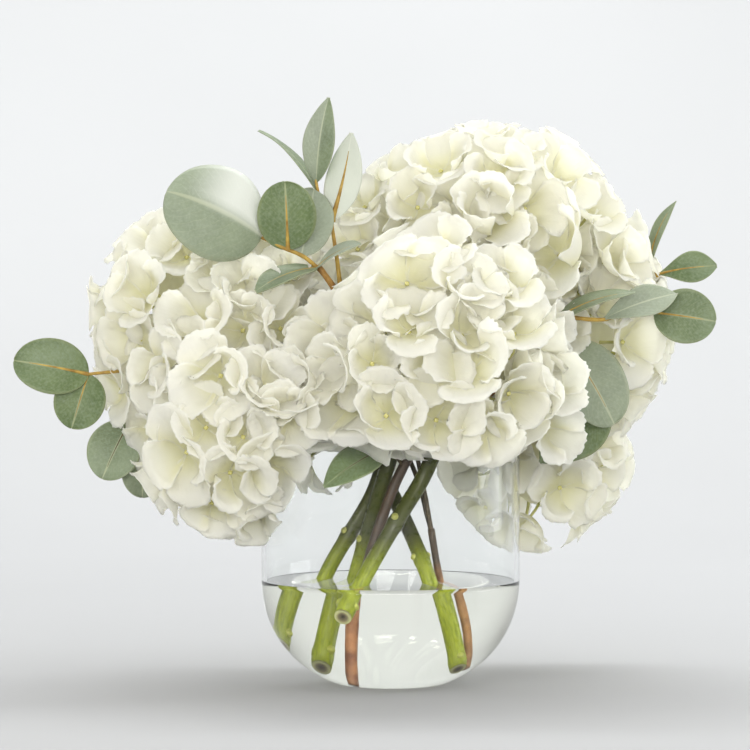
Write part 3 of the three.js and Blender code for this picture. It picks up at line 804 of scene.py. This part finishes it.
def wood_paint():
    """Red-brown bark, more orange on thin shoots and dark with painted shade between water and flowers,
    with rings.
    """
    paint = Paint("eucalyptus_twig", Specular_IOR_Level=0.4)
    grain, height = paint.noise(150, 5.0), paint.height()
    bark = paint.ramp(grain, (0.3, (0.15, 0.05, 0.02)), (0.7, (0.46, 0.21, 0.09)))
    thin = paint.ramp(grain, (0.3, (0.24, 0.13, 0.02)), (0.7, (0.52, 0.35, 0.07)))
    # Painted shade: between the water and the flowers the bark is painted nearly black.
    shade_above_water = paint.times(paint.spread(height, 0.062, 0.075), paint.spread(height, 0.15, 0.18, 0.92, 0.0))
    paint.colour(paint.mix(shade_above_water, paint.mix(paint.attribute("shade"), bark, thin), (0.03, 0.022, 0.012)))
    paint.roughness(paint.spread(paint.noise(250), 0.3, 0.7, 0.35, 0.6))
    paint.bump(paint.streaks(3.0, along_times=2.5), 0.6, 0.5)
    return paint.material


def leaf_paint(name, dark, light, vein, bloom):
    """A matte leaf with a pale midrib, side veins that slant to the tip and a whitish bloom. How pale
    each leaf is comes partly from its bloom and partly from painted sheen.
    """
    paint = Paint(name, Specular_IOR_Level=0.3)
    across, along = paint.uv()
    out = paint.math("ABSOLUTE", paint.math("SUBTRACT", across, 0.5))
    slant = paint.math("SUBTRACT", paint.times(along, 11.0), paint.times(out, 9.0))
    wobble = paint.math("ADD", slant, paint.times(paint.noise(70), 1.5))
    stripes = paint.math("ABSOLUTE", paint.math("SINE", paint.times(wobble, math.pi)))
    side_veins = paint.spread(stripes, 0.0, 0.16, 1.0, 0.0)
    base = paint.ramp(paint.noise(55, 4.0), (0.3, dark), (0.72, light))
    speckled = paint.mix(paint.spread(paint.noise(600, 4.0), 0.4, 0.75, 0.0, 0.3), base, bloom)
    clouded = paint.mix(paint.spread(paint.noise(28, 2.0), 0.45, 0.75, 0.0, 0.3), speckled, bloom)
    # Partly bloom, partly painted sheen, by each leaf's pale.
    pale = paint.mix(paint.attribute("shade"), clouded, LEAF_BLOOM_AND_SHEEN)
    vein = paint.mix(paint.attribute("shade"), vein, VEIN_BLOOM_AND_SHEEN)
    veined = paint.mix(paint.times(side_veins, 0.35), pale, vein)
    midrib = paint.spread(out, 0.012, 0.035, 1.0, 0.0)
    shown = paint.mix(paint.times(midrib, 0.8), veined, vein)
    paint.colour(paint.mix(paint.attribute("edge"), shown, vein))
    paint.roughness(paint.spread(paint.noise(300), 0.3, 0.7, 0.36, 0.55))
    paint.bump(paint.math("ADD", paint.times(side_veins, 0.6), paint.noise(500)), 0.35, 0.35)
    return paint.material


# Vase and water


def bowl_outline(radius, drop, lowest):
    """(radius, height) of the bowl from a lowest height up to the straight wall."""
    start = math.acos(((BOWL_HEIGHT - lowest) / drop) ** (BOWL_FULLNESS / 2))
    angles = np.linspace(start, math.pi / 2, BOWL_STEPS)
    across = radius * np.sin(angles) ** (2 / BOWL_FULLNESS)
    down = np.maximum(0, np.cos(angles)) ** (2 / BOWL_FULLNESS)
    return list(zip(across, BOWL_HEIGHT - drop * down))


def make_vase(material):
    outside = bowl_outline(VASE_RADIUS, BOWL_DROP, 0.0)
    inside = bowl_outline(VASE_RADIUS - WALL, BOWL_DROP - WALL, BASE_THICKNESS)[::-1]
    lip = [
        (
            VASE_RADIUS - WALL / 2 * (1 - math.cos(angle)),
            VASE_HEIGHT - WALL / 2 * (1 - math.sin(angle)),
        )
        for angle in np.linspace(0, math.pi, 13)
    ]
    outer_wall = [(VASE_RADIUS, height) for height in WALL_RINGS]
    inner_wall = [(VASE_RADIUS - WALL, height) for height in WALL_RINGS[::-1]]
    section = [(0, 0), *outside, *outer_wall, *lip, *inner_wall, *inside, (0, BASE_THICKNESS)]
    shape = Shape()
    add_turned(shape, section)
    return shape.build("vase_glass", material)


def make_water(material):
    """The water, a little proud of the glass's inner face, with its edge drawn up the wall."""
    rise, reach = 0.25, 1.5
    radius = VASE_RADIUS - WALL + WATER_OVERLAP
    lowest = BASE_THICKNESS - WATER_OVERLAP
    bowl = bowl_outline(radius, BOWL_DROP - WALL + WATER_OVERLAP, lowest)
    edge = [(r, z) for r, z in bowl if z < WATER_LEVEL - 1]
    climb = [
        (radius - reach * share, WATER_LEVEL + rise * (1 - share) ** 3)
        for share in np.linspace(0, 1, 9)
    ]
    calm = [(r, WATER_LEVEL) for r in np.linspace(radius - reach, 12, 8)[1:]]
    shape = Shape()
    add_turned(shape, [(0, lowest), *edge, *climb, *calm, (0, WATER_LEVEL)])
    return shape.build("vase_water", material)


# Green stems


def stem_radii(line, radius, nodes):
    """The radius along a stem: it swells at each node and tapers a little upwards."""
    along = np.concatenate([[0], np.cumsum(np.linalg.norm(np.diff(line, axis=0), axis=1))])
    radii = radius * (1.0 - 0.06 * along / along[-1])
    for node in nodes:
        radii = radii * (1 + NODE_SWELLING * np.exp(-(((along - node) / NODE_LENGTH) ** 2)))
    return radii


def add_cut_end(shape, line, radius, slot):
    """A shallow hollow with a pale rim, which closes a stem's lower end."""
    shares, depths = (0.98, 0.86, 0.6, 0.3, 0.02), (-0.1, -0.6, -0.35, -0.2, -0.2)
    back_depth = 1.6
    turns = ring_of(STEM_SIDES)
    circle = np.column_stack([np.cos(turns), np.sin(turns)]) @ carried_frames(line)[0][:, :2].T
    inward = unit(line[1] - line[0])
    rings = list(zip(shares, depths))
    rings += [(share, back_depth) for share in shares[::-1]]
    points = [line[0] + inward * depth + circle * radius * share for share, depth in rings]
    faces = grid_faces(len(rings), STEM_SIDES, closed=True)
    last = (len(rings) - 1) * STEM_SIDES
    for c in range(STEM_SIDES):
        d = (c + 1) % STEM_SIDES
        faces.append((c, d, last + d, last + c))
    # edge is each ring's share of the radius; cut_paint paints the small shares dark as painted shade.
    shape.add(points, faces, slot=slot, edge=np.repeat([share for share, _ in rings], STEM_SIDES))


def slant_end(shape, line, slope):
    """The cut end is turned to the front: what lies in front moves up the stem."""
    inward = unit(line[1] - line[0])
    front = np.array([0.0, -1.0, 0.0])
    forward = unit(front - inward * (front @ inward))
    for points in shape.points:
        away = points - line[0]
        near = np.clip(1 - (away @ inward) / SLANT_LENGTH, 0, 1)
        points += (slope * (away @ forward) * near)[:, None] * inward


def add_bud_scar(shape, place, outward, upward, radius):
    """The stub of a leaf stalk cut off at a node: a short thick knob that points out and up."""
    direction = unit(np.array(outward) + 0.5 * np.array(upward))
    line = np.array([place + direction * radius * share for share in (0.55, 0.85, 1.15, 1.35, 1.42)])
    radii = radius * np.array([0.55, 0.52, 0.46, 0.4, 0.2])
    add_tube(shape, line, radii, sides=10, shade=1.0)


def make_stem(name, shoots, materials):
    """A stem with its cut end and bud scars, and the branches that fork off it."""
    (radius, line), *branches = routes_of(shoots, STEM_STEP)
    radii = stem_radii(line, radius, STEM_NODES)
    shape = Shape()
    add_tube(shape, line, radii, STEM_SIDES)
    add_cut_end(shape, line, radii[0], 1)
    frames = carried_frames(line)
    for count, node in enumerate(STEM_NODES):
        at = min(len(line) - 1, round(node / STEM_STEP))
        turn = 0.6 + 1.57 * count
        x, y, upward = frames[at].T
        side = x * math.cos(turn) + y * math.sin(turn)
        for outward in (side, -side):
            add_bud_scar(shape, line[at], outward, upward, radius)
    slant_end(shape, line, SLANTS[name])
    for radius, line in branches:
        add_tube(shape, line, stem_radii(line, radius, BRANCH_NODES), BRANCH_SIDES)
    return shape.build(f"green_stem_{name}", *materials)


# Eucalyptus


def leaf_outline(share, round_leaf, full):
    circle = np.sqrt(np.maximum(0, 1 - (2 * share - 1) ** 2))
    lance = np.sin(math.pi * share**full) ** 0.78
    return np.maximum(LEAF_END, circle if round_leaf else lance)


def add_leaf(shape, lines, number, leaf):
    """One leaf as a closed sheet: arched along, folded up along the midrib and a little wavy."""
    width, fold = leaf.width, leaf.fold
    start = nearest_on(lines, leaf.base)
    along = np.array(leaf.tip, float) - start
    length = np.linalg.norm(along)
    along /= length
    across = unit(np.cross(leaf.face, along))
    up = np.cross(along, across)
    share = (1 - np.cos(np.pi * np.linspace(0, 1, LEAF_ROWS)))[:, None] / 2
    side = np.linspace(-1, 1, LEAF_COLUMNS + 1)[None, :]
    half = width / 2 * leaf_outline(share, width >= ROUND_LEAF * length, leaf.full)
    wave = 0.018 * width * np.sin(share * 9 + side * 1.5 + number * 2.1) * np.abs(side) ** 2
    arch = LEAF_ARCH * length * 4 * share * (1 - share)
    crease = fold * half * (np.abs(side) ** 1.3 - 1)
    height = arch + crease + wave + 0.05 * width * np.sin(number * 1.7) * side * share
    middle = (
        start
        + along * (share * length)[..., None]
        + across * (side * half)[..., None]
        + up * height[..., None]
    )
    uv = np.stack(np.broadcast_arrays(side / 2 + 0.5, share), axis=2)
    rim = np.maximum(smoothstep(0.93, 1.0, np.abs(side)), smoothstep(0.985, 1.0, share))
    second = leaf.pale if leaf.other is None else leaf.other
    first = leaf.pale * (1 - leaf.fade * smoothstep(0.35, 0.95, share))
    pale = first + (second - first) * smoothstep(-0.25, 0.15, side)
    add_sheet(shape, middle, uv, LEAF_THICKNESS, slots=(0, 1), shade=pale, edge=rim * 0.5)
    return middle


def add_midrib(shape, middle, radius):
    """The wooden rib of a leaf, a long wedge from its stalk to near its tip."""
    centre = middle[:, middle.shape[1] // 2]
    count = int(len(centre) * 0.72)
    share = np.linspace(0, 1, count)
    radii = 0.3 + radius * (1 - share) ** 1.2
    add_tube(shape, centre[:count], radii, sides=8, shade=1.0)


def add_twig(shape, index, radius, line):
    """A shoot with uneven bark and rings along it. A thin one tapers towards its end."""
    thin = 1.0 - smoothstep(1.6, 2.8, radius)
    uneven = [[draw(20 + index, r, c) - 0.5 for c in range(TWIG_SIDES)] for r in range(len(line))]
    along = np.arange(len(line)) * TWIG_STEP
    off = (along + 7 * index) % RING_SPACING - RING_SPACING / 2
    rings = 1 + 0.10 * np.exp(-((off / 1.8) ** 2))
    taper = 1 - 0.4 * thin * np.linspace(0, 1, len(line))
    squash = 1 + 0.05 * np.array(uneven)
    add_tube(shape, line, radius * rings * taper, TWIG_SIDES, shade=thin, squash=squash)


def make_spray(name, shoots, leaves, leaf_materials, wood_material):
    """The leaves, the twigs, and the places on both that florets leave in sight."""
    blades, twigs = Shape(), Shape()
    places = []
    routes = routes_of(shoots, TWIG_STEP)
    lines = [line for _, line in routes]
    for index, (radius, line) in enumerate(routes):
        add_twig(twigs, index, radius, line)
    for number, leaf in enumerate(leaves):
        middle = add_leaf(blades, lines, number, leaf)
        if leaf.rib:
            add_midrib(twigs, middle, leaf.rib)
        if leaf.clear and leaf.base[1] < FRONT_LIMIT and not in_vase(leaf.base, 0):
            places.append(middle[::2, ::2].reshape(-1, 3))
    for line in lines:
        places.append(line[(line[:, 1] < FRONT_TWIGS) & (line[:, 2] > TWIGS_ABOVE)][::3])
    return (
        blades.build(f"eucalyptus_leaves_{name}", *leaf_materials),
        twigs.build(f"eucalyptus_twigs_{name}", wood_material),
        np.concatenate(places),
    )


# Hydrangea heads


def shares_in(points):
    """How far out points are in each head: 0 at its middle and 1 at its outer ellipsoid."""
    return [np.linalg.norm((points - head.middle) / head.radii, axis=-1) for head in HEADS]


def share_of(points):
    """How far out points are in all the heads together, whose dips florets fill up a little."""
    return 1 - np.log(sum(np.exp(BLEND * (1 - share)) for share in shares_in(points))) / BLEND


def way_out(place):
    """The direction in which a place leaves the heads soonest."""
    steps = np.eye(3)
    return unit([share_of(place + step) - share_of(place - step) for step in steps])


def in_vase(point, margin):
    return math.hypot(point[0], point[1]) < VASE_RADIUS + margin and point[2] < VASE_HEIGHT + margin


def hang_clear(middle, out):
    """A floret just inside the rim is turned outward to hang over it. None if it lies further in."""
    if not in_vase(middle, RIM_CLEARANCE):
        return middle, out
    reach = math.hypot(middle[0], middle[1])
    if reach < VASE_RADIUS * HANGS_OVER:
        return None
    out = np.array([middle[0] / reach, middle[1] / reach, 0.0])
    middle = middle + out * (VASE_RADIUS + RIM_CLEARANCE - reach)
    middle[2] = max(middle[2], VASE_HEIGHT + HANG_HEIGHT)
    return middle, out


def seen_place(px, py, depth):
    """(head's number, place) where a pixel of the photograph meets the florets' seats.

    With a depth, the place is the one on the pixel's ray that is as far back as that."""
    ray = np.array([px - IMAGE_PIXELS / 2, FOCAL_PIXELS, IMAGE_PIXELS / 2 - py]) / FOCAL_PIXELS
    depths = np.arange(*DEPTHS_TRIED) if depth is None else np.array([float(depth)])
    places = CAMERA_PLACE + ray * (depths - CAMERA_PLACE[1])[:, None]
    shares = share_of(places)
    met = np.flatnonzero(shares < SEAT_SHARE)
    place = places[met[0] if len(met) else np.argmin(shares)]
    return int(np.argmin(shares_in(place))), place


def hides(middle, out, reach, places):
    """True if a floret is seen in front of one of the places, with its petals as a disc."""
    towards = CAMERA_PLACE - places
    towards /= np.linalg.norm(towards, axis=1, keepdims=True)
    disc = middle + out * reach * DISC_RISE
    facing = towards @ out
    facing = np.where(np.abs(facing) < 0.2, 0.2, facing)
    ahead = ((disc - places) @ out) / facing
    met = places + towards * ahead[:, None]
    off = np.linalg.norm(met - disc, axis=1)
    return bool(np.any((off < reach) & (ahead > -2)))


def seen_florets(places):
    """The florets placed by the photograph. One that would hide a place sits further back."""
    florets = []
    for one in SEEN:
        h, middle = seen_place(one.px, one.py, one.y)
        out = unit([one.right, -1.0, one.up])
        hung = hang_clear(middle, out)
        if hung is None:
            continue
        middle = hung[0]
        if one.y is None:
            back = unit(middle - CAMERA_PLACE)
            steps = [middle + back * step for step in STEPS_BACK]
            clear = [step for step in steps if not hides(step, out, one.reach * 0.7, places)]
            middle = clear[0] if clear else steps[-1]
        spin, held = math.radians(one.spin), one.y is None
        florets.append(Floret(h, middle, out, one.reach, spin, one.bowl, BEST_GRID, held))
    return florets


def spiral(count, h):
    """Directions spread evenly over a sphere."""
    turn = math.pi * (3 - math.sqrt(5))
    for i in range(count):
        z = 1 - 2 * (i + 0.5) / count
        ring = math.sqrt(1 - z * z)
        angle = i * turn + h * 1.7 + 0.3 * (draw(h, i, 0) - 0.5)
        yield i, np.array([ring * math.cos(angle), ring * math.sin(angle), z])


def spread_florets(h, count, layer, taken, places):
    """Further florets of head h on a spiral, wherever none is near and no place gets hidden."""
    seat, spacing, reach, grid = layer
    head = HEADS[h]
    found = []
    for i, out in spiral(count, h):
        share = seat + 0.08 * (draw(h, i, 1) - 0.5)
        way, far = head.radii * out, share
        for _ in range(8):
            far = min(far + share - share_of(head.middle + way * far), FURTHEST)
        middle = head.middle + way * far
        if np.argmin(shares_in(middle)) != h:
            continue
        if math.acos(np.clip(out @ head.neck, -1, 1)) < NECK_ANGLE:
            continue
        hung = hang_clear(middle, way_out(middle))
        if hung is None:
            continue
        middle, out = hung
        near = [np.linalg.norm(middle - one.middle) for one in taken + found]
        if near and min(near) < spacing:
            continue
        lean = np.array([draw(h, i, 2) - 0.5, draw(h, i, 3) - 0.5, draw(h, i, 4) - 0.4])
        out = unit(out + LEAN * lean)
        size = reach * (0.9 + 0.2 * draw(h, i, 5))
        if hides(middle, out, size * 0.95, places):
            continue
        spin, bowl = 2 * math.pi * draw(h, i, 6), 0.7 + 0.7 * draw(h, i, 7)
        found.append(Floret(h, middle, out, size, spin, bowl, grid))
    return found


def all_florets(places):
    """Those of the photograph first, then the spiral's, then others wherever there is room."""
    florets = seen_florets(places)
    for h, head in enumerate(HEADS):
        florets += spread_florets(h, head.florets, LAYERS[0], florets, places)
    for layer in LAYERS:
        for h in range(len(HEADS)):
            florets += spread_florets(h, SPIRAL_TRIES, layer, florets, places)
    return florets


def disc_grid(count):
    """A square grid pressed into a disc: along and across, each from -1 to 1."""
    line = np.linspace(-1, 1, count)
    s, t = np.meshgrid(line, line, indexing="ij")
    return s * np.sqrt(1 - t * t / 2), t * np.sqrt(1 - s * s / 2)


def petal_half_width(v):
    """Half a petal's width against half the disc's, at a share v of its length: narrow at the foot."""
    share = v / WIDEST
    disc = 2 * np.sqrt(np.maximum(1 - v, 0.2))
    lower = PETAL_WIDTH * np.sqrt(v) / WIDEST * (1.25 - 0.25 * share**4) / disc
    blunt = np.sqrt(np.maximum(v - 2 * WIDEST + 1, 0) / np.maximum(v, 0.1))
    upper = PETAL_WIDTH / (2 * (1 - WIDEST)) * blunt
    return np.where(v < WIDEST, lower, upper)


def bowl_profile(bowl, random):
    """How a floret rises from its middle to its rim: length along, then way out, rise and tilt there.

    The petals' length is 1 on the flat, and the way out to their tips is 1 in a bowl too."""
    along = np.linspace(0, 1.3, 66)
    low = 0.15 + 0.2 * random.random() * bowl
    high = 0.15 + (0.6 + 0.35 * random.random()) * bowl
    flare = 0.35 + 0.6 * random.random()
    tilt = low + (high - low) * smoothstep(0.0, 0.65, along) - flare * smoothstep(0.7, 1.1, along)
    move = np.diff(along, prepend=0)
    out, rise = np.cumsum(np.cos(tilt) * move), np.cumsum(np.sin(tilt) * move)
    size = min(1.4, 1 / np.interp(1.0, along, out))
    return along, out * size, rise * size, tilt


def petal_points(count, reach, profile, inner, random):
    """A petal's middle surface: x out from the floret's middle, y across and z up.

    Near the middle all petals of a floret lie on the same bowl, and they part towards the rim."""
    along, across = disc_grid(count)
    rho = np.clip(np.hypot(along, across), 0, 1)
    turn = np.arctan2(across, along)
    phases = 2 * math.pi * random.random(5)
    jag = random.random(rho.shape) - 0.5
    notched = 0.09 * jag + 0.03 * np.sin(3 * turn + phases[0]) + 0.02 * np.sin(7 * turn + phases[1])
    grow = 1 + rho**10 * notched
    v = np.clip((along * grow + 1) / 2, 0, None)
    y = across * grow * petal_half_width(v) * (0.92 + 0.2 * random.random())
    spread, angle = np.hypot(v, y), np.arctan2(y, v)
    out, rise, lean = (np.interp(spread, profile[0], values) for values in profile[1:])
    outer = smoothstep(0.25, 0.8, spread)
    curl = (0.10 + 0.12 * random.random()) * (1 if inner else 0.5)
    ruffle = 0.022 * np.sin(5 * turn + phases[2]) + 0.018 * np.sin(9 * turn + phases[3])
    lift = outer * (curl * across**2 + rho**3 * ruffle + (0.02 if inner else -0.012))
    points = np.stack(
        [
            out * np.cos(angle) - np.sin(lean) * np.cos(angle) * lift,
            out * np.sin(angle) - np.sin(lean) * np.sin(angle) * lift,
            rise + np.cos(lean) * lift,
        ],
        axis=2,
    )
    bend = outer * ((0.10 if inner else -0.14) + 0.36 * (random.random() - 0.5))
    x = points[..., 0] * np.cos(bend) - points[..., 2] * np.sin(bend)
    z = points[..., 0] * np.sin(bend) + points[..., 2] * np.cos(bend)
    twist = 0.3 * (random.random() - 0.5) * outer
    points = np.stack([x, points[..., 1], z + points[..., 1] * twist], axis=2)
    return points * reach, v, rho


def turn_about_z(angle):
    c, s = math.cos(angle), math.sin(angle)
    return np.array([[c, -s, 0], [s, c, 0], [0, 0, 1]])


def held_in(head, points):
    """Points far out are drawn in towards their head, so that the petals end in one soft outline."""
    over = np.maximum(share_of(points) - HELD_FROM, 0)
    back = over - HELD_ROOM * (1 - np.exp(-over / HELD_ROOM))
    away = (points - head.middle) / head.radii
    scale = 1 - back / np.maximum(np.linalg.norm(away, axis=-1), 0.5)
    return head.middle + (points - head.middle) * scale[..., None]


def seen_at(points):
    """How far right and up the camera sees points, as on a plane through the vase's axis."""
    away = points - CAMERA_PLACE
    return away[..., [0, 2]] / away[..., 1:2] * -CAMERA_PLACE[1]


def tucked_behind(points, places):
    """Points that would be seen in front of a leaf move back behind it, and less so round its edge."""
    seen, spots = seen_at(points), seen_at(places)
    middle = seen.mean(axis=(0, 1))
    size = np.linalg.norm(seen - middle, axis=2).max()
    near = np.linalg.norm(spots - middle, axis=1) < size + TUCK_EDGE
    if not near.any():
        return points
    gaps = np.linalg.norm(seen[:, :, None] - spots[near], axis=3)
    depth = places[near][gaps.argmin(axis=2), 1] + TUCK_DEPTH
    share = 1 - smoothstep(TUCK_GAP, TUCK_EDGE, gaps.min(axis=2))
    short = np.maximum(depth - points[..., 1], 0) * share
    if short.max() > TUCK_LIMIT:
        return points
    away = points - CAMERA_PLACE
    return points + away * (short / away[..., 1])[..., None]


def clear_of_wall(points):
    """Points just inside the vase's wall move out past it, as petals that bend round the glass."""
    reach = np.hypot(points[..., 0], points[..., 1])
    least = VASE_RADIUS + WALL_CLEARANCE
    low = 1 - smoothstep(VASE_HEIGHT - 1, VASE_HEIGHT + 5, points[..., 2])
    wanted = np.where(reach > WALL_REACH, np.maximum(reach, least), reach)
    scale = 1 + low * (wanted / np.maximum(reach, 1e-6) - 1)
    moved = points.copy()
    moved[..., :2] *= scale[..., None]
    return moved


def turned(floret):
    """The floret's own directions: across, across and the way it looks."""
    return frame_on(floret.out) @ turn_about_z(floret.spin)


def add_petals(petals, floret, number, places):
    """Four cupped petals round the floret's middle."""
    random = np.random.default_rng(number)
    profile = bowl_profile(floret.bowl, random)
    across = disc_grid(floret.grid)[1]
    for lobe in range(4):
        reach = floret.reach * (0.9 + 0.16 * random.random())
        points, v, rho = petal_points(floret.grid, reach, profile, lobe % 2 == 0, random)
        yaw = turn_about_z(lobe * math.pi / 2 + 0.2 * (random.random() - 0.5))
        placed = points @ (turned(floret) @ yaw).T + floret.middle
        if floret.held:
            placed = tucked_behind(held_in(HEADS[floret.head], placed), places)
        uv = np.stack([across / 2 + 0.5, v], axis=2)
        # The rims' share of the painted highlight.
        edge = smoothstep(0.84, 1.0, rho)
        add_sheet(petals, clear_of_wall(placed), uv, PETAL_THICKNESS, shade=random.random(), edge=edge)


def add_eye(eyes, floret):
    """The closed bud at a floret's middle: a low dome with four lobes."""
    tilts = np.linspace(0.12, 1.9, EYE_ROWS)[:, None]
    turns = ring_of(EYE_SIDES)[None, :]
    radii = np.sin(np.minimum(tilts, math.pi / 2)) * (1 + 0.12 * np.cos(4 * turns))
    heights = 0.7 * np.cos(tilts) + 0.5 + 0 * turns
    rings = np.stack([radii * np.cos(turns), radii * np.sin(turns), heights], axis=2)
    tips = np.array([(0, 0, 1.22), (0, 0, 0.15)])
    rings, tips = (EYE_RADIUS * points @ turned(floret).T + floret.middle for points in (rings, tips))
    eyes.add_rings(rings, tips, flip=True)


def add_stalk(stalks, floret):
    """A thin curved stalk from the floret's middle back to where the head's stem branches."""
    head = HEADS[floret.head]
    hub = head.middle + head.radii * head.neck * 0.3
    bend = floret.middle - floret.out * STALK_BEND
    line = route([floret.middle, bend, (bend + hub) / 2 + (bend - hub) * 0.05, hub], STALK_STEP)
    add_tube(stalks, line, np.linspace(*STALK_RADII, len(line)), STALK_SIDES)


def add_core(petals, head):
    """The tight bunch of small petals inside a head, as a lumpy closed form."""
    tilts = np.linspace(0.05, math.pi - 0.05, CORE_ROWS)[:, None]
    turns = ring_of(CORE_SIDES)[None, :]
    lumps = 1 + 0.07 * np.sin(5 * turns + 3 * tilts) * np.sin(6 * tilts)
    lumps = lumps + 0.05 * np.sin(9 * turns - 4 * tilts)
    ball = np.stack(
        [np.sin(tilts) * np.cos(turns), np.sin(tilts) * np.sin(turns), np.cos(tilts) + 0 * turns], axis=2
    )
    radii = head.radii * CORE_SHARE
    tips = [head.middle + radii * (0, 0, 1), head.middle - radii * (0, 0, 1)]
    rings = clear_of_wall(head.middle + radii * ball * lumps[..., None])
    # Its uv gives it the petals' creamy base, part tint and part painted shade.
    petals.add_rings(rings, tips, flip=True, uv=(0.2, 0.2), shade=1.0)


def make_heads(petal_material, eye_material, stalk_material, places):
    """For each head its petals, its eyes and its stalks, clear of the places that stay in sight."""
    florets = all_florets(places)
    for h, head in enumerate(HEADS):
        petals, eyes, stalks = Shape(), Shape(), Shape()
        own = [one for one in florets if one.head == h]
        for number, floret in enumerate(own):
            add_petals(petals, floret, 1000 * h + number, places)
            add_eye(eyes, floret)
            add_stalk(stalks, floret)
        add_core(petals, head)
        yield (
            head.name,
            petals.build(f"hydrangea_petals_{head.name}", petal_material),
            eyes.build(f"hydrangea_eyes_{head.name}", eye_material),
            stalks.build(f"hydrangea_stalks_{head.name}", stalk_material),
        )


# The centrepiece


def dress(piece, slot, *nodes):
    """The piece rides on the one body and stands for CAD nodes, which it hides. Its slot is not used."""
    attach(piece, "root")
    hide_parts(*nodes)


def make_centrepiece():
    dress(make_vase(glass_paint()), "glass", "vase")
    dress(make_water(water_paint()), "water", "water")
    green = (stem_paint(), cut_paint())
    for name, shoots in HEAD_STEMS.items():
        dress(make_stem(name, shoots, green), "green_stem", f"stem_{name}")
    both_sides = [leaf_paint(name, **colours) for name, colours in LEAF_COLOURS.items()]
    wood = wood_paint()
    places = []
    for name, (shoots, leaves) in SPRAYS.items():
        blades, twigs, kept_clear = make_spray(name, shoots, leaves, both_sides, wood)
        dress(blades, "eucalyptus_leaf", f"eucalyptus_{name}")
        dress(twigs, "eucalyptus_wood", f"eucalyptus_{name}")
        places.append(kept_clear)
    heads = make_heads(petal_paint(), eye_paint(), stalk_paint(), np.concatenate(places))
    for name, petals, eyes, stalks in heads:
        dress(petals, "petals", f"hydrangea_{name}")
        dress(eyes, "floret_eye", f"hydrangea_{name}")
        dress(stalks, "green_stem", f"hydrangea_{name}")


# Stage, lights and camera


def make_stage():
    """A pale floor that curves up into a backdrop."""
    half, front, back, radius, top = 6000.0, -3500.0, 2600.0, 1500.0, 4500.0
    bend = [
        (back - radius + radius * math.sin(angle), radius - radius * math.cos(angle))
        for angle in np.linspace(0, math.pi / 2, 17)
    ]
    section = [(front, 0.0), *bend, (back, top)]
    points = [(x, y, z) for y, z in section for x in (-half, half)]
    shape = Shape()
    shape.add(points, grid_faces(len(section), 2, flip=True))
    paint = Paint("pale_floor", Roughness=0.8)
    paint.colour(paint.ramp(paint.noise(1.2), (0.3, (0.39, 0.39, 0.39)), (0.7, (0.41, 0.41, 0.41))))
    paint.bump(paint.noise(60), 0.05, 1.0)
    floor = shape.build("floor", paint.material)
    floor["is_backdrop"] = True


def add_light(name, place, target, size, power, colour=(1, 1, 1)):
    light = bpy.data.lights.new(name, "AREA")
    light.shape = "RECTANGLE"
    light.size, light.size_y = size
    light.energy = power
    light.color = colour
    lamp = bpy.data.objects.new(name, light)
    lamp.location = place
    lamp.rotation_euler = (Vector(target) - Vector(place)).to_track_quat("-Z", "Y").to_euler()
    bpy.context.scene.collection.objects.link(lamp)


def make_lights():
    middle = (0.0, 0.0, 0.2)
    add_light("overhead", (0.4, -0.2, 1.6), middle, (1.4, 1.4), 3.5, (0.93, 0.97, 1.0))
    add_light("left_window", (-1.6, -0.7, 0.7), middle, (3.2, 1.5), 6)
    add_light("right_panel", (1.4, 0.2, 0.5), middle, (0.8, 1.2), 10, (0.93, 0.97, 1.0))
    add_light("front_fill", (-0.1, -1.9, 0.41), middle, (2.6, 0.38), 26.5, (1.0, 0.99, 0.965))
    add_light("wall_light", (0.0, 1.2, 2.8), (0.0, 2.6, 0.3), (4.0, 0.8), 117, (0.95, 0.98, 1.0))


def make_world():
    """Light from all round, stronger from above."""
    world = bpy.data.worlds.new("studio")
    sky = Nodes(world)
    rise = sky.add("SeparateXYZ", {0: sky.add("TexCoord").outputs["Generated"]}).outputs[2]
    background = sky.tree.nodes["Background"]
    sky.feed((1.0, 0.995, 0.985), background.inputs["Color"])
    sky.feed(sky.spread(rise, 0.05, 0.24, 0.40, 0.86), background.inputs["Strength"])
    bpy.context.scene.world = world


def make_camera():
    camera = bpy.data.cameras.new("camera")
    camera.sensor_width = SENSOR_MM
    camera.lens = FOCAL_PIXELS / IMAGE_PIXELS * SENSOR_MM
    camera.clip_start, camera.clip_end = 0.01, 50
    holder = bpy.data.objects.new("camera", camera)
    holder.location = CAMERA_PLACE * MM
    holder.rotation_euler = (math.pi / 2, 0, 0)
    bpy.context.scene.collection.objects.link(holder)
    bpy.context.scene.camera = holder


make_centrepiece()
make_stage()
make_lights()
make_world()
make_camera()
bpy.context.scene.view_settings.view_transform = "Standard"

boxes = {"cad": CAD_BOX, "visual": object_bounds()}
{name: [list(corner) for corner in box] for name, box in boxes.items()}
